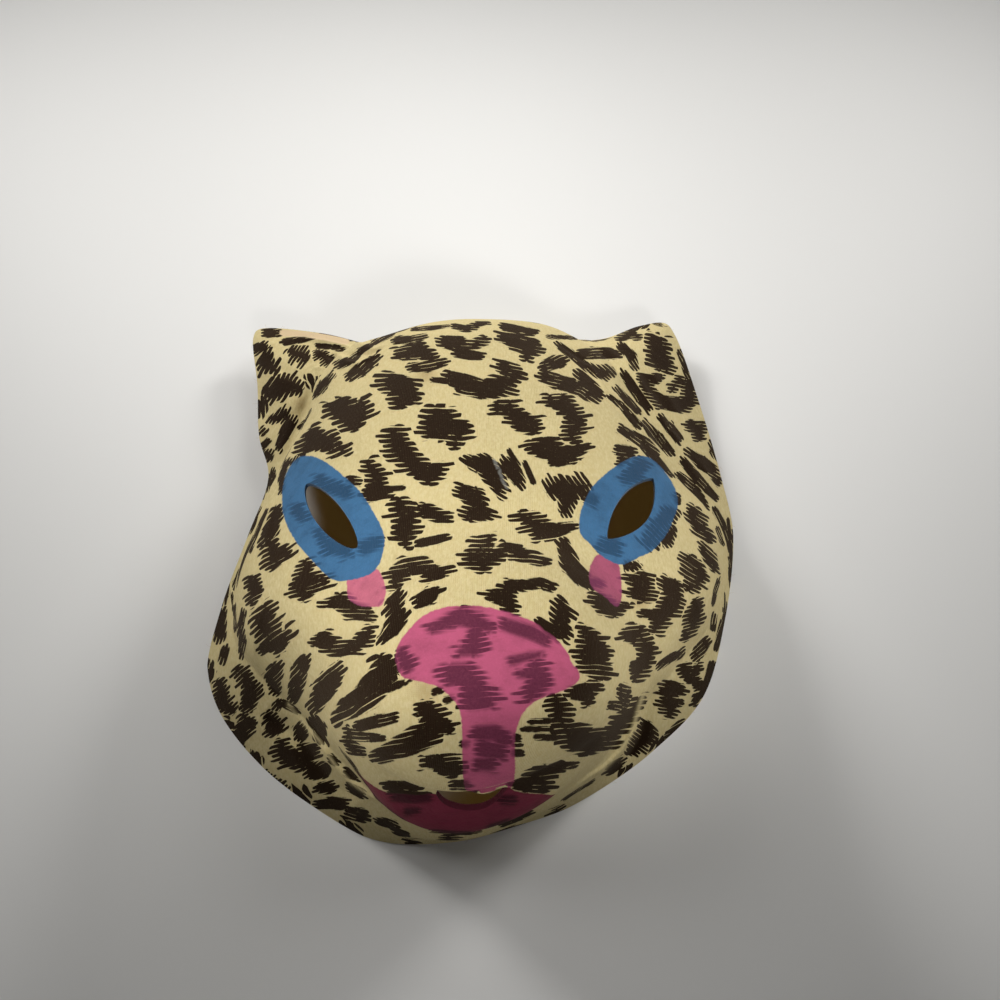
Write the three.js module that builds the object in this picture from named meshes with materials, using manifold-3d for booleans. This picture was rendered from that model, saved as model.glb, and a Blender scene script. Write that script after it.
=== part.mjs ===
/**
 * A child's cheetah mask, pressed from one sheet of cloth on a stiff backing.
 *
 * It lies face up on a table. x runs to the right ear as seen, y to the top of the head and z up, in
 * millimetres. The middle of the plan is between the eyes until the last step centres the part.
 */
import * as THREE from "three";
import Module from "manifold-3d";

const wasm = await Module();
wasm.setup();

const TURN = 2 * Math.PI;
const WALL = 1.6;

// Heights over the table
const BROW_HEIGHT = 79;
const CROWN_HEIGHT = 56.5;
const NOSE_HEIGHT = 90;
const BASE_HEIGHT = 8;

// The edge, counter-clockwise: x and y of the cut rim, its height over the table, the width of the skirt
// from the rim in to the crease, and the height of the crease.
const EDGE = [
  { name: "forehead", x: -1, y: 99, lift: 0, skirt: 4, rise: 10 },
  { name: "forehead left", x: -22, y: 96, lift: 3, skirt: 4, rise: 13 },
  { name: "left notch", x: -41, y: 89, lift: 10, skirt: 4, rise: 17 },
  { name: "left ear top", x: -68, y: 94, lift: 13, skirt: 19, rise: 19 },
  { name: "left ear tip", x: -94, y: 95, lift: 14, skirt: 42, rise: 22 },
  { name: "left ear tip low", x: -95.5, y: 91, lift: 14, skirt: 41, rise: 22 },
  { name: "left ear side", x: -91, y: 68, lift: 13, skirt: 30, rise: 22 },
  { name: "left ear low", x: -87, y: 44, lift: 13, skirt: 18, rise: 21 },
  { name: "left waist", x: -81.5, y: 27, lift: 12, skirt: 6, rise: 18 },
  { name: "left temple", x: -87, y: 4, lift: 9, skirt: 4.5, rise: 14 },
  { name: "left cheek", x: -94, y: -22, lift: 5, skirt: 6, rise: 10 },
  { name: "left cheek tip", x: -97.5, y: -45, lift: -0.5, skirt: 15.5, rise: 14 },
  { name: "left corner", x: -91, y: -60, lift: -1, skirt: 20.5, rise: 17.5 },
  { name: "left jaw", x: -73.2, y: -78.2, lift: -1, skirt: 22, rise: 18.5 },
  { name: "left chin", x: -50.5, y: -92.5, lift: -1, skirt: 17.5, rise: 21 },
  { name: "chin low", x: -26, y: -102.5, lift: 1, skirt: 10, rise: 22 },
  { name: "chin", x: -6, y: -103.5, lift: 2, skirt: 6, rise: 20 },
  { name: "right chin", x: 18, y: -96.5, lift: 1, skirt: 5.5, rise: 19 },
  { name: "right jaw", x: 40, y: -84.8, lift: -1, skirt: 7, rise: 18 },
  { name: "right jaw out", x: 59, y: -72.5, lift: -1, skirt: 12.5, rise: 17 },
  { name: "right corner", x: 79, y: -54, lift: -1, skirt: 14.5, rise: 15.5 },
  { name: "right cheek", x: 90, y: -26, lift: -1, skirt: 5.5, rise: 9 },
  { name: "right waist", x: 97, y: 8, lift: 0, skirt: 8, rise: 10 },
  { name: "right temple", x: 95, y: 30, lift: 2, skirt: 24, rise: 22 },
  { name: "right ear side", x: 88.5, y: 65.5, lift: 6, skirt: 34, rise: 27 },
  { name: "right ear tip low", x: 80.5, y: 95, lift: 11, skirt: 42, rise: 27 },
  { name: "right ear tip", x: 77, y: 99.8, lift: 12, skirt: 41, rise: 26 },
  { name: "right ear top", x: 66, y: 98.5, lift: 12, skirt: 31, rise: 25 },
  { name: "right notch", x: 50, y: 92.5, lift: 11, skirt: 15, rise: 24 },
  { name: "forehead right", x: 28, y: 96, lift: 5, skirt: 5, rise: 18 },
];

// The muzzle in plan, and the two pads at its front
const MUZZLE = { x: 3, y: -61, halfWidth: 49, behind: 52, before: 41, roundness: 2.2, base: 12 };
const PADS = [
  { x: -20, y: -77, rx: 14, ry: 12, up: 3 },
  { x: 27, y: -73, rx: 14, ry: 12, up: 3 },
];
const SOCKETS = [
  { x: -42, y: -13, rx: 22, ry: 24, up: -3 },
  { x: 46, y: -9, rx: 22, ry: 24, up: -3 },
];

// Folds pressed into the cloth: where they run, their half width and their height
const FOLDS = [
  { name: "left ear ridge", path: [[-94, 93], [-84, 72], [-75, 50]], width: 5, up: 2.2 },
  { name: "left cheek valley", path: [[-70, -44], [-56, -54], [-44, -70]], width: 7, up: -4 },
  { name: "right cheek valley", path: [[72, -30], [56, -46], [46, -66]], width: 7, up: -2.5 },
];
const FOLD_END = 6;

// Eye holes in plan: corner to corner, with the bulge of each side
const EYES = [
  { from: [-54.5, 3.2], to: [-33.5, -24.6], left: 3.6, right: 4.6, roundness: 0.55 },
  { from: [58.6, 11.5], to: [38.9, -18.4], left: 6.1, right: 4.1, roundness: 0.75 },
];

// The mouth hole as seen from the front, x and z
const MOUTH = {
  corners: [[-10.2, 52], [9, 51]],
  top: [[-7.5, 55.1], [-3.8, 55], [-0.8, 53], [2.1, 51.2], [4.4, 51], [6.6, 51.6]],
  bottom: [[7.4, 48.9], [5.1, 46.7], [2.4, 45.6], [-1.4, 45.8], [-5.2, 47], [-8.5, 48.8]],
};

// The outer face is laid out in rings: to the crease, then over the skirt. The inner face has fewer.
const OUTER = { dome: 26, skirt: 6 };
const INNER = { dome: 19, skirt: 4 };
const SECTORS = 6;
const WIDEST_RING = 23;
const RAY_STEPS = 120;
const CURVE_STEPS = 36;

function smoothStep(low, high, value) {
  const t = THREE.MathUtils.clamp((value - low) / (high - low), 0, 1);
  return t * t * (3 - 2 * t);
}

/** The larger of two heights, with a soft change from one to the other. */
function softMax(a, b, softness) {
  return 0.5 * (a + b + Math.hypot(a - b, softness));
}

/** A bell curve with the value 1 at zero and 0.37 at one width away. */
function bell(distance, width) {
  return Math.exp(-((distance / width) ** 2));
}

/** A smooth closed curve round the middle, as reach and height sorted by angle. */
function polarLine(points) {
  const curve = new THREE.CatmullRomCurve3(points, true, "centripetal");
  const samples = curve.getPoints(points.length * CURVE_STEPS).slice(0, -1);
  const line = samples.map((p) => ({
    angle: THREE.MathUtils.euclideanModulo(Math.atan2(p.y, p.x), TURN),
    reach: Math.hypot(p.x, p.y),
    level: p.z,
  }));
  return line.sort((a, b) => a.angle - b.angle);
}

/** Reach and height of such a curve at any angle. */
function lineAt(line, angle) {
  const wanted = THREE.MathUtils.euclideanModulo(angle, TURN);
  let low = 0;
  let high = line.length;
  while (low < high) {
    const middle = (low + high) >> 1;
    if (line[middle].angle <= wanted) low = middle + 1;
    else high = middle;
  }
  const before = line[(low + line.length - 1) % line.length];
  const after = line[low % line.length];
  const gap = THREE.MathUtils.euclideanModulo(after.angle - before.angle, TURN);
  const share = THREE.MathUtils.euclideanModulo(wanted - before.angle, TURN) / gap;
  return {
    reach: THREE.MathUtils.lerp(before.reach, after.reach, share),
    level: THREE.MathUtils.lerp(before.level, after.level, share),
  };
}

const RIM = polarLine(EDGE.map((e) => new THREE.Vector3(e.x, e.y, e.lift)));
const CREASE = polarLine(EDGE.map((e) => {
  const inward = 1 - e.skirt / Math.hypot(e.x, e.y);
  return new THREE.Vector3(e.x * inward, e.y * inward, e.rise);
}));

/** The crease's mean reach and first waves: a rounder line that the dome follows away from its edge. */
function roundTerms(waves, steps) {
  const terms = [];
  for (let wave = 0; wave <= waves; wave += 1) {
    const term = { wave, cos: 0, sin: 0 };
    for (let i = 0; i < steps; i += 1) {
      const angle = (i / steps) * TURN;
      const part = (lineAt(CREASE, angle).reach * (wave === 0 ? 1 : 2)) / steps;
      term.cos += part * Math.cos(wave * angle);
      term.sin += part * Math.sin(wave * angle);
    }
    terms.push(term);
  }
  return terms;
}

const ROUND = roundTerms(3, 720);

function roundReach(angle) {
  return ROUND.reduce((sum, t) => sum + t.cos * Math.cos(t.wave * angle) + t.sin * Math.sin(t.wave * angle), 0);
}

function hillAt(hills, x, y) {
  return hills.reduce((sum, h) => sum + h.up * bell(Math.hypot((x - h.x) / h.rx, (y - h.y) / h.ry), 1), 0);
}

/** Share of a fold's full height at a place: 1 on its line, fading to its sides and its ends. */
function foldShare(fold, x, y) {
  const parts = fold.path.slice(1).map((end, i) => ({ start: fold.path[i], end }));
  const lengths = parts.map(({ start, end }) => Math.hypot(end[0] - start[0], end[1] - start[1]));
  const total = lengths.reduce((sum, length) => sum + length, 0);
  let run = 0;
  let share = 0;
  parts.forEach(({ start, end }, i) => {
    const dx = end[0] - start[0];
    const dy = end[1] - start[1];
    const t = THREE.MathUtils.clamp(((x - start[0]) * dx + (y - start[1]) * dy) / lengths[i] ** 2, 0, 1);
    const away = Math.hypot(x - start[0] - t * dx, y - start[1] - t * dy);
    const along = (run + t * lengths[i]) / total;
    const taper = Math.sqrt(Math.max(0, Math.sin(Math.PI * along)));
    share = Math.max(share, taper * bell(away, fold.width));
    run += lengths[i];
  });
  return share;
}

function domeHeight(x, y, reach, angle, crease) {
  const nearEdge = smoothStep(0.6, 1, reach / crease.reach);
  const limit = THREE.MathUtils.lerp(roundReach(angle), crease.reach, nearEdge);
  const crown = BROW_HEIGHT + (CROWN_HEIGHT - BROW_HEIGHT) * smoothStep(-45, 92, y) - 0.004 * x * x - 0.07 * x;
  const foot = THREE.MathUtils.lerp(BASE_HEIGHT, crease.level, nearEdge);
  const fullness = Math.max(0, 1 - (reach / limit) ** 3.6) ** 0.55;
  return foot + (crown - foot) * fullness;
}

function muzzleHeight(x, y, edgeShare) {
  const across = Math.abs(x - MUZZLE.x) / MUZZLE.halfWidth;
  const along = Math.abs(y - MUZZLE.y) / (y > MUZZLE.y ? MUZZLE.behind : MUZZLE.before);
  const out = (across ** MUZZLE.roundness + along ** MUZZLE.roundness) ** (1 / MUZZLE.roundness);
  const fullness = Math.max(0, 1 - out ** 3.2) ** 0.55;
  const nearEdge = Math.max(0, 1 - edgeShare ** 14) ** 0.7;
  const fall = 90 * Math.max(0, out - 1);
  return MUZZLE.base + (NOSE_HEIGHT - MUZZLE.base) * fullness * nearEdge - fall + hillAt(PADS, x, y);
}

/** Height of the outer face over a place in the plan. */
function height(x, y) {
  const angle = Math.atan2(y, x);
  const reach = Math.hypot(x, y);
  const rim = lineAt(RIM, angle);
  const crease = lineAt(CREASE, angle);
  const edgeShare = reach / crease.reach;
  const head = softMax(domeHeight(x, y, reach, angle, crease), muzzleHeight(x, y, edgeShare), 10) - 1.5;
  const body = head + hillAt(SOCKETS, x, y);
  const wall = Math.max(0, 1 - edgeShare ** 30) ** 0.7;
  const outward = THREE.MathUtils.clamp((reach - crease.reach) / (rim.reach - crease.reach), 0, 1.5);
  const apron = THREE.MathUtils.lerp(crease.level, rim.level, outward);
  const calm = smoothStep(0, FOLD_END, rim.reach - reach);
  const folds = FOLDS.reduce((sum, fold) => sum + fold.up * foldShare(fold, x, y), 0);
  return apron + Math.max(0, body - apron) * wall + folds * calm;
}

/** How far the front is pressed in under the pads and at the chin; the lower lip stands out between. */
function tuck(x, y, z) {
  const front = smoothStep(-58, -80, y);
  const side = Math.exp(-(((x + 2) / 30) ** 4));
  const groove = 2.8 * bell(z - 54, 5.5);
  const lip = 3.2 * bell(z - 35, 8);
  const chin = 4 * smoothStep(16, 3, z) * Math.exp(-(Math.abs((x + 1) / 30) ** 3));
  return front * (side * (groove - lip) + chin);
}

/** Reaches of the rings along one ray, evenly spaced over the surface up to the crease and beyond it. */
function ringReaches(angle, rings) {
  const crease = lineAt(CREASE, angle).reach;
  const rim = lineAt(RIM, angle).reach;
  const lengths = [0];
  const reachAt = (i) => (crease * i) / RAY_STEPS;
  const levels = [];
  for (let i = 0; i <= RAY_STEPS; i += 1) {
    levels.push(height(reachAt(i) * Math.cos(angle), reachAt(i) * Math.sin(angle)));
  }
  for (let i = 1; i <= RAY_STEPS; i += 1) {
    lengths.push(lengths[i - 1] + Math.hypot(crease / RAY_STEPS, levels[i] - levels[i - 1]));
  }
  const reaches = [];
  let step = 0;
  for (let ring = 0; ring < rings.dome; ring += 1) {
    const wanted = (lengths[RAY_STEPS] * ring) / rings.dome;
    while (lengths[step + 1] < wanted) step += 1;
    reaches.push(reachAt(step + (wanted - lengths[step]) / (lengths[step + 1] - lengths[step])));
  }
  for (let ring = 0; ring <= rings.skirt; ring += 1) {
    reaches.push(THREE.MathUtils.lerp(crease, rim, ring / rings.skirt));
  }
  return reaches;
}

/** A place on the outer face, or straight below it through the wall. */
function facePoint(x, y, depth) {
  const step = 0.5;
  const slopeX = (height(x + step, y) - height(x - step, y)) / (2 * step);
  const slopeY = (height(x, y + step) - height(x, y - step)) / (2 * step);
  const normal = new THREE.Vector3(-slopeX, -slopeY, 1).normalize();
  return new THREE.Vector3(x, y, height(x, y)).addScaledVector(normal, -depth);
}

/** One face of the sheet as rings of points, the first ring being the single middle point. */
function ringedFace(rings, depth) {
  const count = rings.dome + rings.skirt;
  const face = [[facePoint(0, 0, depth)]];
  for (let ring = 1; ring <= count; ring += 1) {
    const places = SECTORS * Math.min(ring, WIDEST_RING);
    const points = [];
    for (let i = 0; i < places; i += 1) {
      const angle = (i / places) * TURN;
      const reach = ringReaches(angle, rings)[ring];
      points.push(facePoint(reach * Math.cos(angle), reach * Math.sin(angle), depth));
    }
    face.push(points);
  }
  return face;
}

/** Triangles between two rings, each given by the number of its first point and its count of points. */
function stitch(inner, outer) {
  const at = (ring, i) => ring.first + (i % ring.count);
  const innerSteps = inner.count > 1 ? inner.count : 0;
  const triangles = [];
  let i = 0;
  let j = 0;
  while (i < innerSteps || j < outer.count) {
    const outerNext = j < outer.count && (i >= innerSteps || (j + 1) / outer.count <= (i + 1) / innerSteps);
    if (outerNext) {
      triangles.push([at(inner, i), at(outer, j), at(outer, j + 1)]);
      j += 1;
    } else {
      triangles.push([at(inner, i), at(outer, j), at(inner, i + 1)]);
      i += 1;
    }
  }
  return triangles;
}

function solidOf(points, triangles) {
  return new wasm.Manifold(new wasm.Mesh({
    numProp: 3,
    vertProperties: Float32Array.from(points.flatMap((p) => [p.x, p.y, p.z])),
    triVerts: Uint32Array.from(triangles.flat()),
  }));
}

/** The pressed sheet: an outer face, an inner face turned over, and the cut edge between them. */
function pressedSheet() {
  const points = [];
  const triangles = [];
  const addFace = (face, turned) => {
    const rings = face.map((ring) => {
      const entry = { first: points.length, count: ring.length };
      points.push(...ring);
      return entry;
    });
    rings.slice(1).forEach((ring, i) => {
      stitch(rings[i], ring).forEach((t) => triangles.push(turned ? [t[0], t[2], t[1]] : t));
    });
    return rings[rings.length - 1];
  };
  const top = addFace(ringedFace(OUTER, 0), false);
  const under = addFace(ringedFace(INNER, WALL), true);
  for (let i = 0; i < top.count; i += 1) {
    const next = (i + 1) % top.count;
    triangles.push([under.first + i, under.first + next, top.first + next]);
    triangles.push([under.first + i, top.first + next, top.first + i]);
  }
  return solidOf(points, triangles);
}

/** A straight prism over a closed outline, from one level to another. */
function prism(outline, bottom, top) {
  const shape = new THREE.Shape(outline.map(([x, y]) => new THREE.Vector2(x, y)));
  const corners = shape.getPoints();
  const caps = THREE.ShapeUtils.triangulateShape(corners, []);
  const count = corners.length;
  const points = [bottom, top].flatMap((z) => corners.map((c) => new THREE.Vector3(c.x, c.y, z)));
  const triangles = [];
  caps.forEach(([a, b, c]) => {
    triangles.push([c, b, a]);
    triangles.push([a + count, b + count, c + count]);
  });
  for (let i = 0; i < count; i += 1) {
    const next = (i + 1) % count;
    triangles.push([i, next, next + count]);
    triangles.push([i, next + count, i + count]);
  }
  return { points, triangles };
}

function counterClockwise(outline) {
  const turned = THREE.ShapeUtils.area(outline.map(([x, y]) => new THREE.Vector2(x, y))) < 0;
  return turned ? [...outline].reverse() : outline;
}

/** The outline of an eye hole: two bulging sides from corner to corner. */
function eyeOutline(eye) {
  const steps = 12;
  const dx = eye.to[0] - eye.from[0];
  const dy = eye.to[1] - eye.from[1];
  const length = Math.hypot(dx, dy);
  const side = (bulge, i) => {
    const t = (1 - Math.cos((Math.PI * i) / steps)) / 2;
    const away = bulge * Math.sin(Math.PI * t) ** eye.roundness;
    return [eye.from[0] + t * dx - (away * dy) / length, eye.from[1] + t * dy + (away * dx) / length];
  };
  const outline = [];
  for (let i = 0; i < steps; i += 1) outline.push(side(eye.left, i));
  for (let i = steps; i > 0; i -= 1) outline.push(side(-eye.right, i));
  return counterClockwise(outline);
}

function eyeCutter(eye) {
  const { points, triangles } = prism(eyeOutline(eye), 20, 100);
  return solidOf(points, triangles);
}

/** The mouth hole's cutter: its outline stands upright and runs through the front wall only. */
function mouthCutter() {
  const outline = counterClockwise([MOUTH.corners[0], ...MOUTH.top, MOUTH.corners[1], ...MOUTH.bottom]);
  const { points, triangles } = prism(outline, 78, 110);
  const upright = points.map((p) => new THREE.Vector3(p.x, -p.z, p.y));
  return solidOf(upright, triangles);
}

/** Everything below the table. */
function tableCutter() {
  const far = 150;
  const { points, triangles } = prism([[-far, -far], [far, -far], [far, far], [-far, far]], -30, 0);
  return solidOf(points, triangles);
}

/** The finished solid as a geometry, with the front pressed in and the bottom's middle at the origin. */
function finished(solid) {
  const mesh = solid.getMesh();
  const geometry = new THREE.BufferGeometry();
  const positions = new Float32Array(mesh.vertProperties);
  for (let i = 0; i < positions.length; i += 3) {
    positions[i + 1] += tuck(positions[i], positions[i + 1], positions[i + 2]);
  }
  geometry.setAttribute("position", new THREE.BufferAttribute(positions, 3));
  geometry.setIndex(new THREE.BufferAttribute(new Uint32Array(mesh.triVerts), 1));
  geometry.computeBoundingBox();
  const { min, max } = geometry.boundingBox;
  geometry.translate(-(min.x + max.x) / 2, -(min.y + max.y) / 2, -min.z);
  geometry.computeVertexNormals();
  return geometry;
}

function maskShell() {
  const holes = [...EYES.map(eyeCutter), mouthCutter(), tableCutter()];
  const solid = holes.reduce((rest, cutter) => rest.subtract(cutter), pressedSheet());
  const cloth = new THREE.MeshStandardMaterial({ name: "printed_cloth", color: 0xe3cf96, roughness: 0.9 });
  const mesh = new THREE.Mesh(finished(solid), cloth);
  mesh.name = "mask_shell";
  return mesh;
}

const group = new THREE.Group();
group.name = "cheetah_mask";
group.add(maskShell());

export default group;
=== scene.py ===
"""A child's cheetah mask of printed knit cloth, pressed over a stiff backing, lying face up.

The form's own tables are in millimetres round the middle of the face, the finished meshes in metres.
Places marked "as seen" are where the camera sees them, in thousandths of the picture's width.
"""

import math
import random

import bmesh
import bpy
import numpy as np
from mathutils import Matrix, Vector
from mathutils.kdtree import KDTree


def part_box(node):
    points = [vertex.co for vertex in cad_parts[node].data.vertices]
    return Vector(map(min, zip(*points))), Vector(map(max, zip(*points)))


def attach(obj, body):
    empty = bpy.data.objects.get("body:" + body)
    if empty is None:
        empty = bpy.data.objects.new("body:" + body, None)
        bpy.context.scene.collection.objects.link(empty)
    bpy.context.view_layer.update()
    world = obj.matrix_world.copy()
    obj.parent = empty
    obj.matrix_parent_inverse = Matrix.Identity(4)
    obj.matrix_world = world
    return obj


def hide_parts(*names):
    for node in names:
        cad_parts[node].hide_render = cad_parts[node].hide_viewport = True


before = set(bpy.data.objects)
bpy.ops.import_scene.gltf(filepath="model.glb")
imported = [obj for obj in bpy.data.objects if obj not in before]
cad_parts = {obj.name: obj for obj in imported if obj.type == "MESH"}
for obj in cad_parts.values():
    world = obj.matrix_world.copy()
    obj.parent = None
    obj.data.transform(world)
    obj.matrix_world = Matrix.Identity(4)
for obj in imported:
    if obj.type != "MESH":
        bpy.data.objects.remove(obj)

bl_info = {
    "name": "Cheetah mask",
    "version": (1, 0, 0),
    "blender": (4, 5, 0),
    "location": "3D View > Sidebar > Mask",
    "description": "Builds a pressed cloth cheetah mask with its print, its painted face and a stage",
    "category": "Add Mesh",
}

NODE = "mask_shell"
MM = 0.001
TURN = 2 * math.pi

# The materials' numbers on the cloth
PRINTED, BACKING, CUT_EDGE = range(3)

# The form, with the same named sizes as the solid
WALL = 1.6
BROW_HEIGHT = 79.0
CROWN_HEIGHT = 56.5
NOSE_HEIGHT = 90.0
BASE_HEIGHT = 8.0

# The dome: the span of y over which the brow falls to the crown, its fall to the sides and its lean,
# the share of the reach where it starts to follow the edge, and the powers that round its shoulder
DOME = {
    "fall": (-45, 92), "side_fall": 0.004, "lean": 0.07, "near_edge": 0.6,
    "shoulder": 3.6, "fullness": 0.55,
}

# The edge, counter-clockwise: x, y, height of the cut rim, width of the skirt, height of the crease
EDGE = {
    "forehead": (-1, 99, 0, 4, 10),
    "forehead left": (-22, 96, 3, 4, 13),
    "left notch": (-41, 89, 10, 4, 17),
    "left ear top": (-68, 94, 13, 19, 19),
    "left ear tip": (-94, 95, 14, 42, 22),
    "left ear tip low": (-95.5, 91, 14, 41, 22),
    "left ear side": (-91, 68, 13, 30, 22),
    "left ear low": (-87, 44, 13, 18, 21),
    "left waist": (-81.5, 27, 12, 6, 18),
    "left temple": (-87, 4, 9, 4.5, 14),
    "left cheek": (-94, -22, 5, 6, 10),
    "left cheek tip": (-97.5, -45, -0.5, 15.5, 14),
    "left corner": (-91, -60, -1, 20.5, 17.5),
    "left jaw": (-73.2, -78.2, -1, 22, 18.5),
    "left chin": (-50.5, -92.5, -1, 17.5, 21),
    "chin low": (-26, -102.5, 1, 10, 22),
    "chin": (-6, -103.5, 2, 6, 20),
    "right chin": (18, -96.5, 1, 5.5, 19),
    "right jaw": (40, -84.8, -1, 7, 18),
    "right jaw out": (59, -72.5, -1, 12.5, 17),
    "right corner": (79, -54, -1, 14.5, 15.5),
    "right cheek": (90, -26, -1, 5.5, 9),
    "right waist": (97, 8, 0, 8, 10),
    "right temple": (95, 30, 2, 24, 22),
    "right ear side": (88.5, 65.5, 6, 34, 27),
    "right ear tip low": (80.5, 95, 11, 42, 27),
    "right ear tip": (77, 99.8, 12, 41, 26),
    "right ear top": (66, 98.5, 12, 31, 25),
    "right notch": (50, 92.5, 11, 15, 24),
    "forehead right": (28, 96, 5, 5, 18),
}

# The muzzle: its middle, its reach, its foot and its fall outside its outline, then the powers that
# round its outline, its shoulder and its end at the crease
MUZZLE = {
    "x": 3, "y": -61, "half_width": 49, "behind": 52, "before": 41, "base": 12, "fall": 90,
    "roundness": 2.2, "shoulder": 3.2, "fullness": 0.55, "edge": 14, "edge_fullness": 0.7,
}

# How softly the muzzle meets the dome, and how far both are sunk
BLEND = 10
SINK = 1.5
# The powers that turn the wall up inside the crease
WALL_TURN = (30, 0.7)
# How far the skirt's slope runs on, in widths of the skirt
SKIRT_END = 1.5

# The front's tuck: its span of y, its middle and its half width
TUCK = {"span": (-58, -80), "x": -2, "half_width": 30}
# Its bands: height, half height and depth
GROOVE = (54, 5.5, 2.8)
LOWER_LIP = (35, 8, 3.2)
# Its chin: span of height, middle, half width and depth
CHIN = {"span": (16, 3), "x": -1, "half_width": 30, "depth": 4}
# Rounds in which a point's place before the tuck is found
TUCK_ROUNDS = 5

# Low round hills: x, y, half widths and height
HILLS = {
    "left pad": (-20, -77, 14, 12, 3),
    "right pad": (27, -73, 14, 12, 3),
}
SOCKETS = {
    "left socket": (-42, -13, 22, 24, -3),
    "right socket": (46, -9, 22, 24, -3),
}

# Folds in plan: path, half width and height
FOLDS = {
    "left ear ridge": ([(-94, 93), (-84, 72), (-75, 50)], 5, 2.2),
    "left cheek valley": ([(-70, -44), (-56, -54), (-44, -70)], 7, -4),
    "right cheek valley": ([(72, -30), (56, -46), (46, -66)], 7, -2.5),
    "right temple wrinkle": ([(40, 92), (60, 62), (74, 38), (92, 10)], 3.2, 1.8),
    "right ear wrinkle": ([(52, 92), (69, 66), (82, 42), (94, 14)], 3.2, 1.4),
}
FOLD_END = 6

# Finer folds, with their paths as seen
FINE_FOLDS = {
    "pinched ridge": (
        [(648, 680), (639, 707), (632, 732), (620, 753), (604, 769), (582, 783), (556, 799)],
        1.1, 3.2,
    ),
    "pinched valley": (
        [(657, 682), (648, 710), (641, 736), (630, 757), (613, 775), (591, 790), (562, 807)],
        2.3, -3.8,
    ),
    "left jaw line": (
        [(288, 704), (303, 722), (320, 742), (334, 764), (350, 782), (372, 797), (396, 813),
         (418, 828)],
        1.3, 2.0,
    ),
    "left jaw valley": (
        [(266, 714), (288, 728), (304, 746), (318, 766), (334, 786), (354, 801)],
        3.0, -3.0,
    ),
    "left ear valley": ([(318, 368), (309, 392), (301, 416), (291, 442), (281, 464)], 2.4, -2.0),
    "left ear pleat": ([(258, 348), (272, 362), (288, 374), (302, 379)], 1.8, -0.9),
    "upper ear pleat": (
        [(272, 345), (296, 339), (322, 341), (348, 347), (372, 350), (400, 342)],
        1.3, 1.2,
    ),
    "between the ear pleats": ([(300, 350), (322, 347), (346, 354), (370, 354), (394, 344)], 1.6, -1.2),
    "lower ear pleat": (
        [(312, 362), (322, 351), (336, 354), (346, 363), (358, 364), (378, 354), (398, 341)],
        1.4, 1.2,
    ),
    "left waist pleat": ([(268, 470), (272, 500), (268, 530), (262, 556)], 1.8, 0.7),
    "temple wrinkle": (
        [(581, 360), (592, 369), (606, 391), (625, 403), (635, 416), (646, 431), (659, 453)],
        1.1, 0.8,
    ),
    "beside the temple wrinkle": ([(600, 396), (620, 411), (636, 432), (650, 456)], 1.8, -0.8),
    "outer temple wrinkle": (
        [(637, 377), (643, 391), (653, 407), (666, 429), (689, 452), (708, 474), (718, 499)],
        1.2, 0.7,
    ),
    "brow line": ([(556, 342), (572, 352), (590, 366)], 1.4, -0.7),
}

# Eye holes in plan: corner to corner, with the bulge of each side
EYES = {
    "left eye": ((-54.5, 3.2), (-33.5, -24.6), 3.6, 4.6, 0.55),
    "right eye": ((58.6, 11.5), (38.9, -18.4), 6.1, 4.1, 0.75),
}
EYE_STEPS = 40

# The mouth hole from the front, x and z, anticlockwise from its left corner
MOUTH = [
    (-10.2, 52), (-8.5, 48.8), (-5.2, 47), (-1.4, 45.8), (2.4, 45.6), (5.1, 46.7), (7.4, 48.9),
    (9, 51), (6.6, 51.6), (4.4, 51), (2.1, 51.2), (-0.8, 53), (-3.8, 55), (-7.5, 55.1),
]

# The ends of the cutting prisms: up through the eyes, in through the mouth, and up to the table
EYE_CUT = (20, 100)
MOUTH_CUT = (-110, -78)
TABLE_CUT = (-30, 0)
TABLE_HALF = 150
# Points closer than this are one
MERGE_DISTANCE = 0.004

# The cut edges: every hole is above this height, only the mouth is in front of this y, and the outer
# edge is under this height in metres
LOWEST_HOLE = 35.0
MOUTH_FRONT = -60.0
HIGHEST_RIM = 0.03

# Rings of points: over the dome, over the skirt, and where they stop getting longer
OUTER_RINGS = {"dome": 130, "skirt": 26, "widest": 122}
INNER_RINGS = {"dome": 56, "skirt": 10, "widest": 54}
SECTORS = 6
# The form's slope is measured over twice this step
SLOPE_STEP = 0.5

# The camera: its place over the face, its tilt from straight down, and its lens and picture width
CAMERA_PLACE = (7.0, -102.0, 268.0)
CAMERA_TILT = 25.0
LENS = 27.0
SENSOR = 36.0
HALF_PICTURE = 500.0
PIXELS_PER_UNIT = 2 * HALF_PICTURE * LENS / SENSOR

# Heights at which a line of sight is tried against the form
TOP_LEVEL = 96
LEVEL_STEP = 0.1

# The painted face, outlines as seen
LEFT_RING = [
    (311, 456), (299, 457), (290, 466), (284, 480), (282, 496), (283, 513), (288, 528), (296, 542),
    (306, 554), (316, 565), (326, 575), (336, 581), (344, 581), (360, 578), (372, 573), (379, 565),
    (383, 552), (385, 540), (381, 526), (375, 515), (367, 501), (358, 489), (346, 478), (334, 468),
    (322, 460),
]
RIGHT_RING = [
    (636, 456), (648, 457), (658, 464), (666, 473), (673, 484), (677, 495), (678, 506), (674, 518),
    (668, 532), (660, 543), (651, 552), (640, 557), (630, 562), (621, 565), (608, 560), (598, 553),
    (590, 544), (581, 535), (579, 526), (580, 514), (586, 498), (592, 487), (603, 476), (616, 466),
    (626, 460),
]
LEFT_TEAR = [
    (348, 575), (360, 571), (377, 569), (383, 579), (386, 590), (384, 601), (381, 606), (367, 607),
    (357, 605), (348, 598), (347, 588),
]
RIGHT_TEAR = [
    (599, 554), (606, 554), (613, 558), (619, 565), (621, 578), (622, 588), (621, 601), (617, 607),
    (611, 603), (604, 596), (594, 590), (589, 578), (590, 567), (594, 558),
]
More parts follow.
